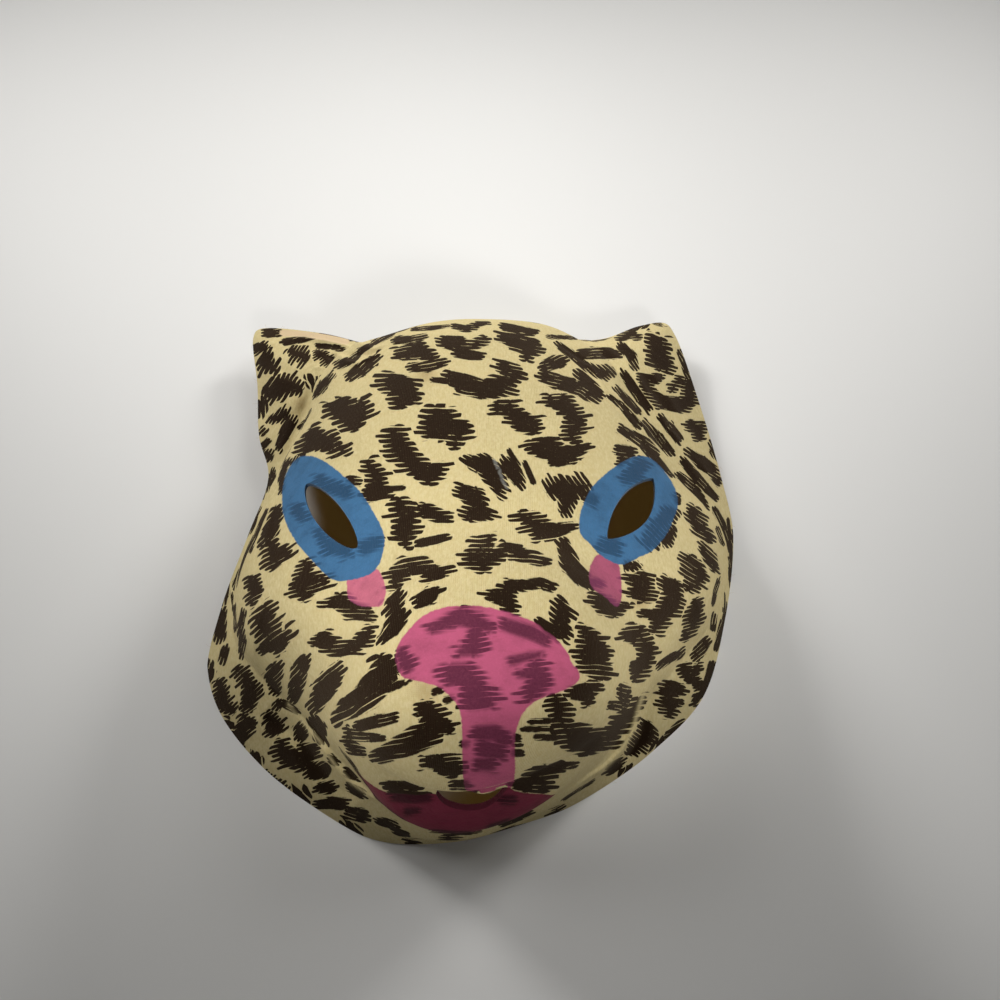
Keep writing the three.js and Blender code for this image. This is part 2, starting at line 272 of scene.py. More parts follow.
NOSE = [
    (403, 678), (397, 668), (395, 658), (397, 648), (402, 638), (410, 628), (420, 618), (432, 611),
    (445, 607), (460, 605.5), (475, 605.5), (487, 607), (500, 609.5), (512, 613), (525, 618),
    (535, 622), (545, 630), (555, 637), (562, 645), (568, 653), (572, 663), (580, 673), (579, 680),
    (574, 685), (565, 690), (545, 697), (535, 702), (527, 708), (522, 715), (519, 722), (516, 732),
    (515, 745), (515, 775), (513, 785), (507, 792), (498, 797), (488, 800), (478, 799), (470, 795),
    (465, 788), (463, 775), (462, 745), (462, 730), (461, 718), (459, 709), (455, 702), (445, 692),
    (438, 687), (430, 684), (410, 679.5),
]
# The lips are painted on the upright front: x and z
LIPS = [
    (-36, 30), (-31, 38), (-25.6, 43), (-20.4, 47.5), (-14.7, 50), (-11.5, 51.5), (-4, 51), (3, 49),
    (9, 51), (11.3, 48.8), (15.3, 45.2), (19.7, 40.4), (23.5, 32), (22, 26), (17, 23), (9, 22),
    (0, 22.5), (-8, 23.5), (-16, 23), (-25, 23), (-32, 25),
]

# Marks of use, as seen, with half widths in millimetres; the brown patches' radii are as seen too. They
# are partly real stains and partly painted shade, in the left ear's crease and beside the nose
SCRATCH = ([(494, 460), (499, 470), (502, 479), (507, 488)], 0.55)
DARK_DOT = ([(428, 664), (428.5, 664)], 0.45)
TURNED_STRIP = ([(283, 333), (305, 333.5), (325, 337.5), (346, 341.5)], 1.5)
STAINS_AND_SHADE = [((426, 374), 9), ((425, 690), 13), ((300, 404), 7), ((640, 600), 8)]

# The print: for each blot its stroke angle in degrees, then places as seen with a half width
LEFT_EAR_PRINT = [
    (40, (257, 349, 5), (264, 346, 4)), (10, (267, 333, 4), (276, 332, 4)),
    (60, (268, 355, 5), (266, 364, 9), (275, 369, 5)),
    (58, (270, 392, 8), (283, 386, 11), (295, 386, 8)), (55, (293, 352, 5), (302, 356, 7)),
    (35, (318, 353, 4), (328, 360, 5), (340, 364, 4.5), (352, 360, 4), (362, 350, 3), (375, 342, 2.5),
     (392, 334, 2)),
    (10, (318, 346, 2), (335, 347, 2), (345, 351, 1.5)),
    (12, (285, 342, 3), (300, 340, 2.5), (312, 337, 2)),
    (10, (350, 339, 3), (362, 339, 3.5), (376, 335, 3)),
    (50, (330, 377, 4), (322, 387, 6.5), (314, 396, 3)),
    (38, (350, 377, 4), (360, 370, 6), (372, 362, 4), (378, 356, 2)),
    (58, (272, 419, 3), (283, 414, 5), (289, 424, 6), (284, 436, 5), (279, 446, 3)),
    (50, (263, 431, 3)), (45, (263, 446, 2.5), (268, 441, 2)), (60, (268, 455, 5)),
    (75, (273, 472, 3), (273, 484, 2.5)),
    (60, (297, 459, 2), (286, 464, 3), (282, 475, 3), (281, 490, 2)),
]
LEFT_BROW_PRINT = [
    (20, (330, 410, 7), (345, 410, 13), (352, 418, 13), (363, 408, 8)),
    (25, (303, 447, 6), (315, 438, 10), (330, 443, 10), (340, 450, 5)),
    (25, (300, 427, 1.5), (306, 421, 1.2)), (0, (388, 382, 10), (400, 384, 8), (412, 385, 6)),
    (0, (400, 398, 10), (415, 397, 5)),
    (3, (395, 436, 9), (400, 450, 11), (415, 466, 9), (428, 475, 9), (440, 470, 6)),
    (3, (369, 465, 5), (376, 474, 7), (378, 486, 10), (370, 494, 7), (386, 492, 5)),
    (5, (350, 479, 2.5), (358, 482, 3)), (5, (388, 489, 1.5), (403, 488, 1.2)),
]
TOP_PRINT = [
    (15, (383, 332, 3), (398, 327, 3), (412, 323, 1.5)),
    (10, (398, 340, 4), (410, 340, 4), (425, 336, 2)),
    (5, (415, 329, 2.5), (432, 328, 3), (448, 326, 1.5)),
    (-5, (455, 326, 3), (467, 329, 4), (478, 324, 3), (488, 323, 1.5)),
    (-8, (505, 327, 4), (520, 330, 4), (532, 333, 3)), (8, (400, 354, 5), (420, 350, 8), (430, 356, 6)),
    (12, (412, 367, 3), (428, 367, 4), (443, 362, 3)),
    (-3, (445, 342, 5), (458, 344, 7), (470, 346, 4), (485, 340, 3)),
    (-5, (458, 352, 4), (470, 355, 4), (480, 356, 3)),
    (-12, (503, 337, 4), (518, 342, 8), (533, 347, 8), (528, 355, 5)),
    (-12, (450, 377, 5), (465, 384, 9), (485, 390, 8), (505, 385, 9), (515, 372, 7), (503, 366, 5)),
    (-12, (433, 380, 1.3), (446, 381, 2)),
    (3, (497, 407, 5), (510, 410, 7), (520, 421, 9), (535, 426, 7)),
    (0, (435, 415, 8), (445, 425, 14), (430, 428, 9), (465, 428, 7), (455, 438, 6), (455, 445, 4)),
    (-8, (550, 337, 3), (580, 338, 2)), (-8, (528, 331, 3), (536, 332, 2)),
    (-10, (593, 334, 2), (606, 330, 2)), (-10, (617, 329, 2), (628, 325, 2)),
]
RIGHT_BROW_PRINT = [
    (20, (545, 366, 5), (555, 362, 6), (563, 361, 4)),
    (-15, (545, 376, 5), (558, 382, 6), (570, 385, 6), (578, 390, 4)),
    (-35, (580, 375, 4), (588, 385, 6), (597, 395, 6), (585, 393, 5)),
    (5, (550, 401, 5), (563, 403, 8), (572, 412, 9), (577, 425, 9), (570, 433, 6), (578, 444, 4)),
    (6, (532, 447, 6), (548, 448, 10), (560, 455, 10), (575, 452, 5), (590, 446, 2)),
    (6, (552, 462, 3), (572, 460, 3)), (3, (580, 354, 4), (595, 353, 5), (610, 353, 5), (618, 354, 3)),
    (-45, (560, 346, 3), (572, 355, 4), (585, 366, 4), (597, 372, 5), (605, 374, 6), (612, 371, 4)),
    (-8, (618, 448, 3), (630, 452, 5), (622, 458, 4), (620, 463, 3)),
]
RIGHT_EAR_PRINT = [
    (-20, (655, 323, 3), (665, 327, 3)), (0, (622, 337, 4), (632, 334, 4), (639, 338, 2)),
    (-55, (622, 347, 4), (631, 355, 4), (634, 366, 4)),
    (-15, (652, 340, 5), (660, 347, 9), (660, 360, 10), (668, 368, 5)),
    (-10, (642, 378, 4), (652, 380, 5), (663, 376, 3)),
    (-10, (645, 385, 4), (652, 395, 5), (662, 402, 6), (680, 405, 7), (693, 400, 5), (688, 388, 5),
     (680, 380, 3), (673, 388, 3)),
    (-60, (680, 352, 2), (687, 372, 2.5), (691, 386, 2.5)),
    (-5, (690, 424, 4), (698, 428, 6), (700, 436, 4)),
]
RIGHT_TEMPLE_PRINT = [
    (-55, (624, 374, 3), (631, 385, 4), (640, 398, 4), (648, 408, 3)),
    (-50, (618, 390, 3), (627, 400, 4), (637, 410, 4)),
    (-45, (610, 397, 1.5), (622, 406, 2), (632, 418, 3), (638, 425, 3)),
    (-50, (645, 424, 3), (652, 432, 5), (660, 440, 5), (670, 452, 4)),
    (-50, (662, 418, 3), (670, 428, 4), (678, 438, 4)),
    (-35, (622, 430, 3), (632, 436, 5), (645, 443, 5), (655, 452, 4)),
    (-50, (645, 448, 5), (655, 457, 4), (664, 467, 3), (671, 475, 1.5)),
    (-35, (690, 453, 3), (702, 463, 6), (712, 470, 5), (718, 482, 3)),
    (-45, (684, 462, 3), (695, 475, 4), (705, 487, 3.5), (716, 498, 2)),
    (-35, (680, 476, 3), (690, 485, 5), (700, 497, 4), (706, 508, 3)),
    (-30, (692, 512, 5), (697, 520, 7), (703, 532, 6), (710, 539, 4)),
    (-65, (715, 510, 2.5), (722, 522, 2.5), (727, 535, 2), (730, 550, 1.5)),
    (-60, (718, 530, 3), (722, 542, 2.5)), (-35, (703, 548, 4), (710, 558, 6), (715, 568, 4)),
    (-30, (687, 560, 5), (692, 568, 8), (700, 577, 7), (692, 585, 6)),
    (-50, (672, 530, 4), (667, 540, 5)), (-35, (677, 496, 2), (678, 502, 2)),
    (-50, (628, 566, 4), (636, 566, 3)), (-80, (728, 520, 1.2), (731, 545, 1.2), (730, 580, 1.2)),
]
CENTRE_PRINT = [
    (-28, (470, 462, 4), (486, 466, 9), (494, 477, 9), (500, 489, 6)),
    (-50, (506, 464, 6), (513, 471, 7), (519, 481, 5)), (-57, (509, 451, 1.2), (518, 465, 1.5)),
    (-62, (525, 463, 1.3), (533, 482, 1.5)),
    (-15, (462, 492, 6), (475, 498, 9), (478, 508, 9), (470, 514, 6), (488, 514, 5)),
    (8, (520, 515, 3), (530, 522, 8), (540, 530, 9), (555, 531, 6), (575, 526, 2)),
    (0, (490, 540, 4), (480, 548, 8), (475, 556, 10), (485, 564, 7), (505, 547, 4), (520, 548, 2)),
    (-3, (515, 553, 5), (528, 556, 6), (540, 561, 4), (548, 562, 2)),
    (-55, (555, 487, 9), (570, 488, 10), (583, 488, 7)), (-55, (567, 500, 8), (565, 510, 4)),
    (-45, (563, 543, 5), (567, 555, 6), (572, 567, 7), (582, 578, 7), (590, 586, 3)),
    (-8, (490, 596, 4), (505, 596, 9), (512, 606, 6)),
    (-12, (508, 584, 3), (522, 586, 4), (540, 583, 4), (552, 588, 3)),
    (3, (400, 507, 8), (408, 516, 12), (405, 530, 12), (405, 541, 6)),
    (3, (425, 510, 6), (440, 516, 5), (447, 519, 3)), (10, (420, 543, 3), (436, 540, 3), (446, 537, 2)),
    (10, (395, 583, 5), (398, 573, 8), (408, 565, 7), (420, 566, 7), (430, 573, 7), (445, 572, 3)),
    (50, (400, 594, 4), (393, 605, 7), (398, 617, 9), (392, 628, 7), (382, 640, 3)),
    (25, (418, 602, 5), (428, 597, 7), (438, 590, 2)),
]
LEFT_CHEEK_PRINT = [
    (65, (266, 512, 2), (262, 520, 2.5), (256, 535, 2.5), (251, 550, 2)),
    (50, (278, 510, 4), (274, 520, 6), (270, 532, 6), (262, 543, 4)),
    (30, (272, 545, 6), (275, 553, 9), (270, 563, 7), (285, 552, 6)),
    (15, (307, 567, 6), (303, 577, 9), (300, 588, 8), (315, 580, 7), (325, 581, 4), (302, 597, 4)),
    (30, (253, 582, 6), (256, 590, 6), (252, 600, 5)),
    (70, (223, 612, 2), (221, 625, 4), (220, 636, 5)),
    (80, (232, 596, 2), (234, 608, 2.5), (235, 618, 2), (235, 628, 3)),
    (60, (243, 614, 3), (240, 628, 4), (243, 640, 5), (241, 652, 4)),
    (70, (225, 650, 3), (223, 660, 3)), (75, (211, 666, 3), (209, 676, 2)),
    (35, (268, 612, 7), (262, 623, 9), (268, 635, 11), (275, 645, 8), (288, 634, 4)),
    (35, (262, 650, 4), (268, 646, 4)),
    (40, (240, 672, 6), (248, 682, 7), (252, 692, 8), (248, 704, 7)),
    (45, (277, 668, 5), (273, 678, 7), (275, 690, 5)),
    (45, (305, 660, 5), (300, 672, 7), (297, 686, 7), (293, 698, 5)),
    (40, (220, 685, 5), (222, 697, 7), (222, 706, 6), (230, 708, 6)),
    (0, (326, 603, 3), (340, 602, 7), (352, 610, 7), (365, 612, 6), (372, 618, 3)),
    (2, (315, 641, 4), (325, 640, 8), (340, 649, 7), (355, 646, 6), (365, 637, 7), (370, 630, 4)),
    (30, (340, 670, 6), (330, 682, 10), (320, 695, 10), (315, 706, 6)),
    (30, (385, 665, 10), (380, 680, 14), (365, 697, 12), (350, 708, 10), (340, 716, 5)),
    (30, (388, 688, 3), (412, 680, 1.5)), (30, (390, 672, 3), (408, 664, 1.5)),
    (-30, (285, 704, 3), (297, 710, 3)), (50, (277, 706, 4), (279, 703, 3)),
]
LEFT_SKIRT_PRINT = [
    (40, (270, 717, 5), (276, 726, 8), (270, 732, 5)),
    (35, (245, 718, 4), (245, 727, 8), (240, 736, 7)), (35, (245, 725, 4), (252, 723, 4)),
    (60, (236, 737, 3), (243, 745, 2)), (50, (254, 753, 4), (254, 762, 5)),
    (40, (265, 775, 4), (275, 783, 5), (285, 790, 5)),
    (15, (283, 745, 5), (280, 752, 7), (290, 758, 9), (300, 762, 8), (312, 752, 7), (303, 750, 5)),
    (50, (300, 728, 4), (301, 736, 5)), (-60, (313, 722, 5), (320, 728, 6), (320, 740, 5)),
    (30, (312, 772, 7), (322, 770, 8), (332, 765, 4)), (20, (320, 788, 4), (330, 787, 5)),
    (20, (300, 797, 4), (304, 797, 3)), (0, (318, 805, 3), (330, 803, 5), (342, 804, 5)),
    (-20, (348, 773, 4), (358, 777, 3)), (-15, (350, 787, 5), (360, 793, 6)),
    (-15, (350, 813, 5), (362, 815, 6)), (-30, (332, 760, 4), (335, 762, 3)),
    (-20, (380, 822, 4), (392, 824, 5), (398, 832, 4), (406, 834, 3)),
]
LEFT_PAD_PRINT = [
    (12, (420, 709, 5), (430, 710, 8), (437, 722, 10), (425, 735, 10), (410, 743, 9), (390, 752, 8),
     (375, 758, 6)),
    (12, (437, 725, 6), (448, 727, 6)), (12, (360, 726, 4), (378, 721, 5), (393, 718, 4)),
    (12, (352, 735, 5), (370, 737, 4), (384, 738, 2)),
    (12, (348, 730, 4), (350, 745, 9), (360, 750, 7)), (3, (425, 762, 4), (440, 762, 6), (455, 766, 8)),
    (3, (440, 770, 3), (452, 773, 4)), (3, (462, 744, 2), (466, 744, 2)),
    (0, (388, 786, 4), (405, 787, 5), (418, 787, 3)), (0, (456, 785, 4), (464, 785, 5)),
    (15, (434, 692, 2), (440, 690, 2)), (15, (446, 700, 2), (451, 699, 2)),
]
RIGHT_PAD_PRINT = [
    (-35, (560, 603, 5), (562, 612, 8), (560, 625, 8), (566, 634, 5)),
    (-35, (540, 622, 3), (550, 630, 5), (557, 636, 3)),
    (-3, (585, 633, 6), (592, 640, 9), (590, 652, 11), (590, 665, 6), (604, 672, 7)),
    (-3, (592, 652, 8), (603, 655, 8)),
    (3, (635, 628, 3), (625, 635, 5), (640, 635, 9), (648, 650, 10), (645, 662, 9), (635, 676, 5)),
    (3, (640, 666, 6), (632, 668, 6)), (-5, (595, 598, 5), (605, 605, 8), (615, 610, 6), (630, 605, 2)),
    (-8, (630, 580, 4), (643, 580, 8), (645, 592, 9), (632, 592, 4)),
    (-25, (665, 583, 5), (673, 588, 7), (675, 598, 7), (668, 608, 6)),
    (-5, (672, 598, 8), (668, 608, 9), (660, 617, 8), (655, 627, 5)),
    (-5, (643, 613, 3), (652, 614, 3)),
    (15, (697, 605, 6), (695, 617, 7), (690, 628, 6), (686, 636, 4)),
    (-15, (620, 690, 5), (627, 697, 9), (625, 707, 7)), (-15, (610, 705, 3), (620, 706, 4)),
    (0, (598, 687, 4), (585, 692, 8), (572, 693, 5)), (0, (586, 695, 6), (588, 700, 5)),
    (0, (555, 702, 6), (560, 713, 10), (562, 725, 11), (570, 738, 12), (590, 742, 12), (610, 738, 9),
     (620, 722, 8), (630, 714, 7), (638, 703, 4)),
    (0, (530, 722, 1.3), (550, 721, 1.6)), (0, (524, 729, 1.3), (552, 729, 1.6)),
    (0, (536, 737, 1.5), (556, 738, 1.8)), (0, (515, 737, 2), (519, 738, 1.6)),
    (0, (514, 744, 2), (519, 744, 1.8)), (0, (514, 753, 2.3), (521, 753, 2.2)),
    (3, (560, 765, 5), (545, 770, 9), (530, 780, 10), (545, 783, 9)), (3, (560, 766, 3), (575, 765, 3)),
    (3, (516, 784, 4), (526, 785, 6)),
]
RIGHT_SKIRT_PRINT = [
    (60, (718, 582, 3), (715, 592, 3), (713, 603, 2)), (80, (714, 617, 2.5), (713, 628, 2.5)),
    (70, (722, 624, 2.5), (719, 637, 2.5), (716, 648, 2)),
    (40, (706, 642, 4), (700, 650, 5), (697, 655, 4)),
    (35, (662, 664, 4), (672, 657, 4), (682, 653, 3)),
    (10, (685, 670, 6), (690, 677, 6), (698, 668, 3)), (20, (697, 684, 4), (705, 687, 4)),
    (65, (712, 665, 3), (709, 677, 3), (706, 688, 3)), (-8, (670, 688, 7), (680, 690, 5)),
    (-8, (670, 692, 6), (668, 700, 8), (670, 712, 5)), (-8, (672, 704, 4), (680, 703, 3)),
    (20, (697, 697, 3), (694, 704, 2)), (20, (612, 768, 6), (620, 763, 5)),
    (-35, (645, 728, 7), (650, 735, 8), (637, 742, 8), (632, 750, 5)),
    (30, (682, 724, 5), (672, 735, 6), (663, 742, 4)),
    (30, (590, 783, 3), (578, 790, 3), (566, 798, 3)),
]
CHIN_PRINT = [
    (-3, (435, 831, 4), (450, 833, 6), (468, 833, 5), (476, 831, 3)),
    (15, (490, 827, 3), (505, 823, 4), (520, 817, 4), (528, 814, 3)),
]
# Print that shows darker through the paint
COVERED_PRINT = [
    (20, (320, 480, 5), (335, 488, 6), (345, 492, 6)), (20, (297, 510, 6), (303, 516, 5)),
    (20, (318, 533, 4), (332, 546, 8), (345, 550, 6)), (0, (365, 548, 6), (375, 543, 5)),
    (-20, (640, 466, 8), (630, 478, 6)), (-30, (588, 498, 5), (593, 500, 5)),
    (-45, (668, 515, 8), (650, 540, 8)), (-20, (605, 545, 7), (614, 546, 7)),
    (-20, (594, 583, 4), (600, 584, 4)),
    (5, (430, 629, 3), (445, 623, 5), (460, 617, 8), (475, 622, 7), (490, 627, 4)),
    (5, (475, 635, 8), (475, 648, 7), (460, 652, 3)), (20, (402, 655, 6), (408, 665, 6)),
    (5, (450, 675, 9), (465, 675, 9), (475, 688, 12), (470, 700, 9), (490, 702, 5)),
    (-20, (505, 625, 5), (530, 632, 6), (545, 640, 5)),
    (10, (512, 661, 3), (530, 656, 3), (543, 654, 2)),
    (5, (535, 670, 9), (540, 680, 11), (530, 694, 7)), (5, (520, 674, 3), (530, 674, 4)),
    (0, (478, 733, 6), (495, 733, 7), (505, 740, 7)), (0, (485, 748, 8), (500, 752, 7)),
    (0, (480, 764, 5), (490, 764, 6)), (0, (395, 795, 5), (410, 798, 5), (428, 797, 4)),
    (0, (408, 812, 3), (417, 811, 2)), (0, (504, 800, 4), (512, 800, 4)),
]
PRINT = [
    *LEFT_EAR_PRINT, *LEFT_BROW_PRINT, *TOP_PRINT, *RIGHT_BROW_PRINT, *RIGHT_EAR_PRINT,
    *RIGHT_TEMPLE_PRINT, *CENTRE_PRINT, *LEFT_CHEEK_PRINT, *LEFT_SKIRT_PRINT, *LEFT_PAD_PRINT,
    *RIGHT_PAD_PRINT, *RIGHT_SKIRT_PRINT, *CHIN_PRINT, *COVERED_PRINT,
]

# The depth that stands for outside every blot or outline
FAR = -20.0
# Keeps a division by a length of nothing from failing
TINY = 1e-9
# The sides of a stroke blend within this distance of a blot's middle line
SIDES_BLEND = 0.05
# How much a point's height over a blot counts as distance from it
HEIGHT_WEIGHT = 0.7
# Where cloth faces the camera less than the first, a blot is stretched no further; the second is the
# least facing reckoned with
STRETCH_LIMIT = 0.42
STEEPEST = 0.08
# How far past its body a blot may reach, and how far it may reach round to cloth turned away
BLOT_MARGIN = 9.0
BEHIND = -0.35

# Blots under this half width have shorter and finer strokes
FULL_BLOT = 3.6
SHORTENING = 1.3
FINEST = 0.72

# Blots where the camera doesn't see the cloth: where they may start, how far apart, and their sizes
HIDDEN = {
    "facing": 0.12, "bare": -4.5, "spacing": 15.0, "reach": 24, "same_side": 0.2, "offset": 40,
    "seed": 11,
}
HIDDEN_SHAPE = {
    "first": (1.8, 3.2), "nodes": (1, 3), "bend": 0.9, "step": (2.5, 4.5), "later": (1.2, 3.2),
    "lean": 25,
}
# A hidden blot gets shallower as the cloth turns into view
FADE = {"slope": 6, "facing": 0.3, "depth": 3}

# Each triangle carries the values of its two deepest blots
LAYERS = ("upper", "lower")
BLOT_VALUES = ("ink", "across", "along", "side")

# Paint is worked out this far round its outline, as seen, on cloth that faces the camera more than this
PAINT_MARGIN = 25
PAINT_FACING = 0.02
# The lips are painted in front of this y, on cloth that faces forward
LIPS_FRONT = -70
LIPS_FACING = -0.15
# The print is whole where cloth faces the camera as the first says, and slit and lightened at the second
# The lightening there is partly thinner print on the stretched sides and partly painted sheen, the nap's
# shine where the cloth turns from the camera
STRETCH_AND_SHEEN_FACING = (0.9, 0.45)
# Folds whose ridge is painted as a pale line, a painted highlight where the print is taken off, with the
# pale line's half width
RIDGE_HIGHLIGHTS = {"pinched ridge": 0.7, "left jaw line": 0.5}

# The grid over which the knit's lengths are measured, and its steepest step
KNIT_GRID = {"reach": 110, "ticks": 441, "lines": 221, "steepest": 6}

# Sizes of the patterns in the materials, in metres
PATTERN = {
    "cloth patches": 0.022, "cloth fibres": 0.0007, "cloth nap": 0.0008, "cloth dents": 0.0045,
    "knit wander": 0.004, "print sway": 0.009, "print grain": 0.0009, "print wear": 0.0008,
    "print fading": 0.011, "paint edge": 0.0012, "paint grain": 0.0006, "paint marks": 0.0022,
    "paint clouds": 0.007, "backing patches": 0.018, "backing threads": 0.001, "edge fuzz": 0.0009,
    "fibre tone": 0.004, "floor clouds": 0.35,
}

# The print's strokes: sway and rounding in millimetres, the rest as powers and shares of a strip
STROKE = {
    "sway": 2.2, "length_power": 1.5, "narrowest": 0.5, "widening": 0.25, "gap_softness": 0.34,
    "rounding": 0.7, "side_power": 0.8,
}
# Numbers that give every strip its own random values
OWN_STRIP = {"strip": 3.17, "side": 0.71, "width": 9.4, "gap": 4.1, "split": 0.37}
# Slits between strokes: their depth in millimetres, how fast they change along the stroke, and how open
# they are on cloth that faces the camera and how much more on cloth that doesn't
SLIT = {"depth": 2.8, "along": 0.16, "least": 0.06, "more": 0.7}
# The grain of the print's edge, in millimetres
GRAIN = 0.35

# How far the paint's edge strays, in millimetres
RAGGED = 0.6

# Where a pattern or a mark starts to show and where it shows in full; for print and paint, in millimetres
# inside their edge
SHOWS = {
    "print": (-0.14, 0.2), "print under paint": (-0.8, 1.0), "own strokes": (-1.4, 0.9),
    "slit sides": (0.7, 0.95), "slit runs": (0.52, 0.64), "wear": (0.62, 0.85),
    "scratch": (0.25, 0.8), "turned strip": (0.3, 0.6), "dark dot": (0.3, 0.8),
    "paint": (-0.2, 0.25), "smooth paint": (-0.2, 0.4), "paint grain": (0.45, 0.8),
    "paint clouds": (0.4, 0.7), "paint marks": (0.45, 0.75), "cloth patches": (0.3, 0.7),
    "cloth fibres": (0.3, 0.75), "backing patches": (0.3, 0.7), "edge fuzz": (0.3, 0.75),
}
# How strongly each pattern or mark covers what is under it
COVER = {
    "wear": 0.2, "ridge": 0.75, "stain": 0.45, "scratch": 0.7, "dark dot": 0.6, "weave": 0.2,
    "print fading": 0.6, "streak": 0.4, "smooth paint": 0.8, "paint grain": 0.3, "paint clouds": 0.35,
    "paint marks": 0.3, "print under paint": 0.66, "print in grain": 0.3,
}
# How light a colour is at the two ends of its pattern
TONES = {
    "cloth": (0.95, 1.05), "paint": (1.08, 0.62), "backing": (0.9, 1.08), "cut edge": (0.8, 1.1),
    "fibre": (0.85, 1.15), "floor": (0.98, 1.02),
}
# How light a part is against the colour that it shares
LIGHTNESS = {"paint grain": 1.4, "turned strip": 1.2, "weave": 0.8, "painted edge": 0.7}
# How much of its frequency a pattern keeps along each axis
DRAWN_OUT = {
    "cloth fibres": (1.0, 0.45, 0.45), "paint marks": (0.45, 1.0, 1.0), "cloth nap": (1.0, 0.6, 0.6),
}
# The cloth's relief: shares of the ribs, the loops, the whole knit and the dents, how far the ribs wander
# and how long a loop is, both in pitches of the ribs
RELIEF = {"rib": 0.6, "loop": 0.25, "knit": 0.6, "dents": 1.2, "wander": 0.5, "loop length": 0.8}

# The weave of the backing in millimetres, and depths of relief in metres
WEAVE_PITCH = 1.1
WEAVE_DEPTH = 0.0002
FUZZ_DEPTH = 0.0004

# What the fibres' node group is given
FIBRE_INPUTS = {
    "Geometry": "NodeSocketGeometry",
    "Fibres per metre squared": "NodeSocketFloat",
    "Length": "NodeSocketFloat",
    "Thickness": "NodeSocketFloat",
    "Seed": "NodeSocketInt",
}
# A loose fibre for a length of 1: its bend, its greatest lean in radians and the shortest one's share
FIBRE_BEND = {
    "Start": (0.0, 0.0, -0.15),
    "Start Handle": (0.0, 0.0, 0.3),
    "End Handle": (0.15, 0.05, 0.7),
    "End": (0.45, 0.1, 0.95),
}
FIBRE_LEAN = (0.9, 0.9, 3.1)
SHORTEST_FIBRE = 0.35
# The least height of a fibre over the floor, in metres
CLEARANCE = 0.0001

# Lights: place, aim and diameter in metres, spread in degrees, and the setting that holds the power
LIGHTS = {
    "low left light": ((-0.7, 0.68, 0.5), (0, 0.12, 0), 0.3, 45, "low_left"),
    "low right light": ((0.7, 0.68, 0.5), (0, 0.12, 0), 0.3, 45, "low_right"),
    "left ceiling light": ((-0.5, 0.4, 0.7), (0, 0.12, 0), 0.5, 55, "ceiling_left"),
    "right ceiling light": ((0.5, 0.4, 0.7), (0, 0.12, 0), 0.5, 55, "ceiling_right"),
    "back light": ((0, 0.65, 0.7), (0, 0.12, 0), 0.5, 50, "back"),
    "side light": ((-0.7, 0.35, 0.75), (0, 0.07, 0), 0.5, 40, "side"),
    "front light": ((0.25, -0.65, 0.5), (0, 0.12, 0.02), 0.2, 14, "front"),
    "face light": ((-0.33, -0.42, 0.78), (-0.022, -0.035, 0.06), 0.06, 10, "face"),
    "right face light": ((0.35, -0.25, 0.84), (0.052, -0.035, 0.05), 0.06, 8, "right_face"),
}
DAYLIGHT = (1.0, 0.985, 0.96)
ROOM_COLOUR = (0.93, 0.95, 1.0, 1.0)
# Half the floor's side, in metres
FLOOR_HALF = 3.0


# The form


def smooth_step(low, high, value):
    t = np.clip((value - low) / (high - low), 0, 1)
    return t * t * (3 - 2 * t)


def soft_max(a, b, softness):
    """The larger of two heights, with a soft change from one to the other."""
    return 0.5 * (a + b + np.hypot(a - b, softness))


def smooth_loop(points, steps=36):
    """A closed Catmull-Rom curve through the points, spaced by the square root of their distances."""
    points = np.array(points, float)
    count = len(points)
    pieces = []
    for i in range(count):
        p0, p1, p2, p3 = (points[(i + k) % count] for k in (-1, 0, 1, 2))
        t0 = 0
        t1 = t0 + math.sqrt(math.dist(p0, p1))
        t2 = t1 + math.sqrt(math.dist(p1, p2))
        t3 = t2 + math.sqrt(math.dist(p2, p3))
        t = np.linspace(t1, t2, steps, endpoint=False)[:, None]
        a1 = (t1 - t) / (t1 - t0) * p0 + (t - t0) / (t1 - t0) * p1
        a2 = (t2 - t) / (t2 - t1) * p1 + (t - t1) / (t2 - t1) * p2
        a3 = (t3 - t) / (t3 - t2) * p2 + (t - t2) / (t3 - t2) * p3
        b1 = (t2 - t) / (t2 - t0) * a1 + (t - t0) / (t2 - t0) * a2
        b2 = (t3 - t) / (t3 - t1) * a2 + (t - t1) / (t3 - t1) * a3
        pieces.append((t2 - t) / (t2 - t1) * b1 + (t - t1) / (t2 - t1) * b2)
    return np.concatenate(pieces)


def polar_line(points):
    """Angle, reach and level along a closed curve round the middle, sorted by angle."""
    line = smooth_loop(points)
    angle = np.mod(np.arctan2(line[:, 1], line[:, 0]), TURN)
    order = np.argsort(angle)
    columns = [column[order] for column in (angle, np.hypot(line[:, 0], line[:, 1]), line[:, 2])]
    columns = [np.concatenate([column[-1:], column, column[:1]]) for column in columns]
    columns[0][0] -= TURN
    columns[0][-1] += TURN
    return columns


RIM = polar_line([(x, y, lift) for x, y, lift, _, _ in EDGE.values()])
CREASE = polar_line([
    (x * (1 - skirt / math.hypot(x, y)), y * (1 - skirt / math.hypot(x, y)), rise)
    for x, y, _, skirt, rise in EDGE.values()
])


def line_at(line, angle):
    wanted = np.mod(angle, TURN)
    return np.interp(wanted, line[0], line[1]), np.interp(wanted, line[0], line[2])


def round_terms(waves=3, steps=720):
    """The crease's mean reach and first waves: the rounder line that most of the dome follows."""
    angle = np.arange(steps) / steps * TURN
    reach, _ = line_at(CREASE, angle)
    terms = [(0, reach.mean(), 0.0)]
    for wave in range(1, waves + 1):
        cos = 2 * (reach * np.cos(wave * angle)).mean()
        sin = 2 * (reach * np.sin(wave * angle)).mean()
        terms.append((wave, cos, sin))
    return terms


ROUND = round_terms()


def round_reach(angle):
    return sum(cos * np.cos(wave * angle) + sin * np.sin(wave * angle) for wave, cos, sin in ROUND)


def hill_height(hills, x, y):
    total = 0.0
    for cx, cy, rx, ry, up in hills.values():
        total = total + up * np.exp(-((x - cx) / rx) ** 2 - ((y - cy) / ry) ** 2)
    return total


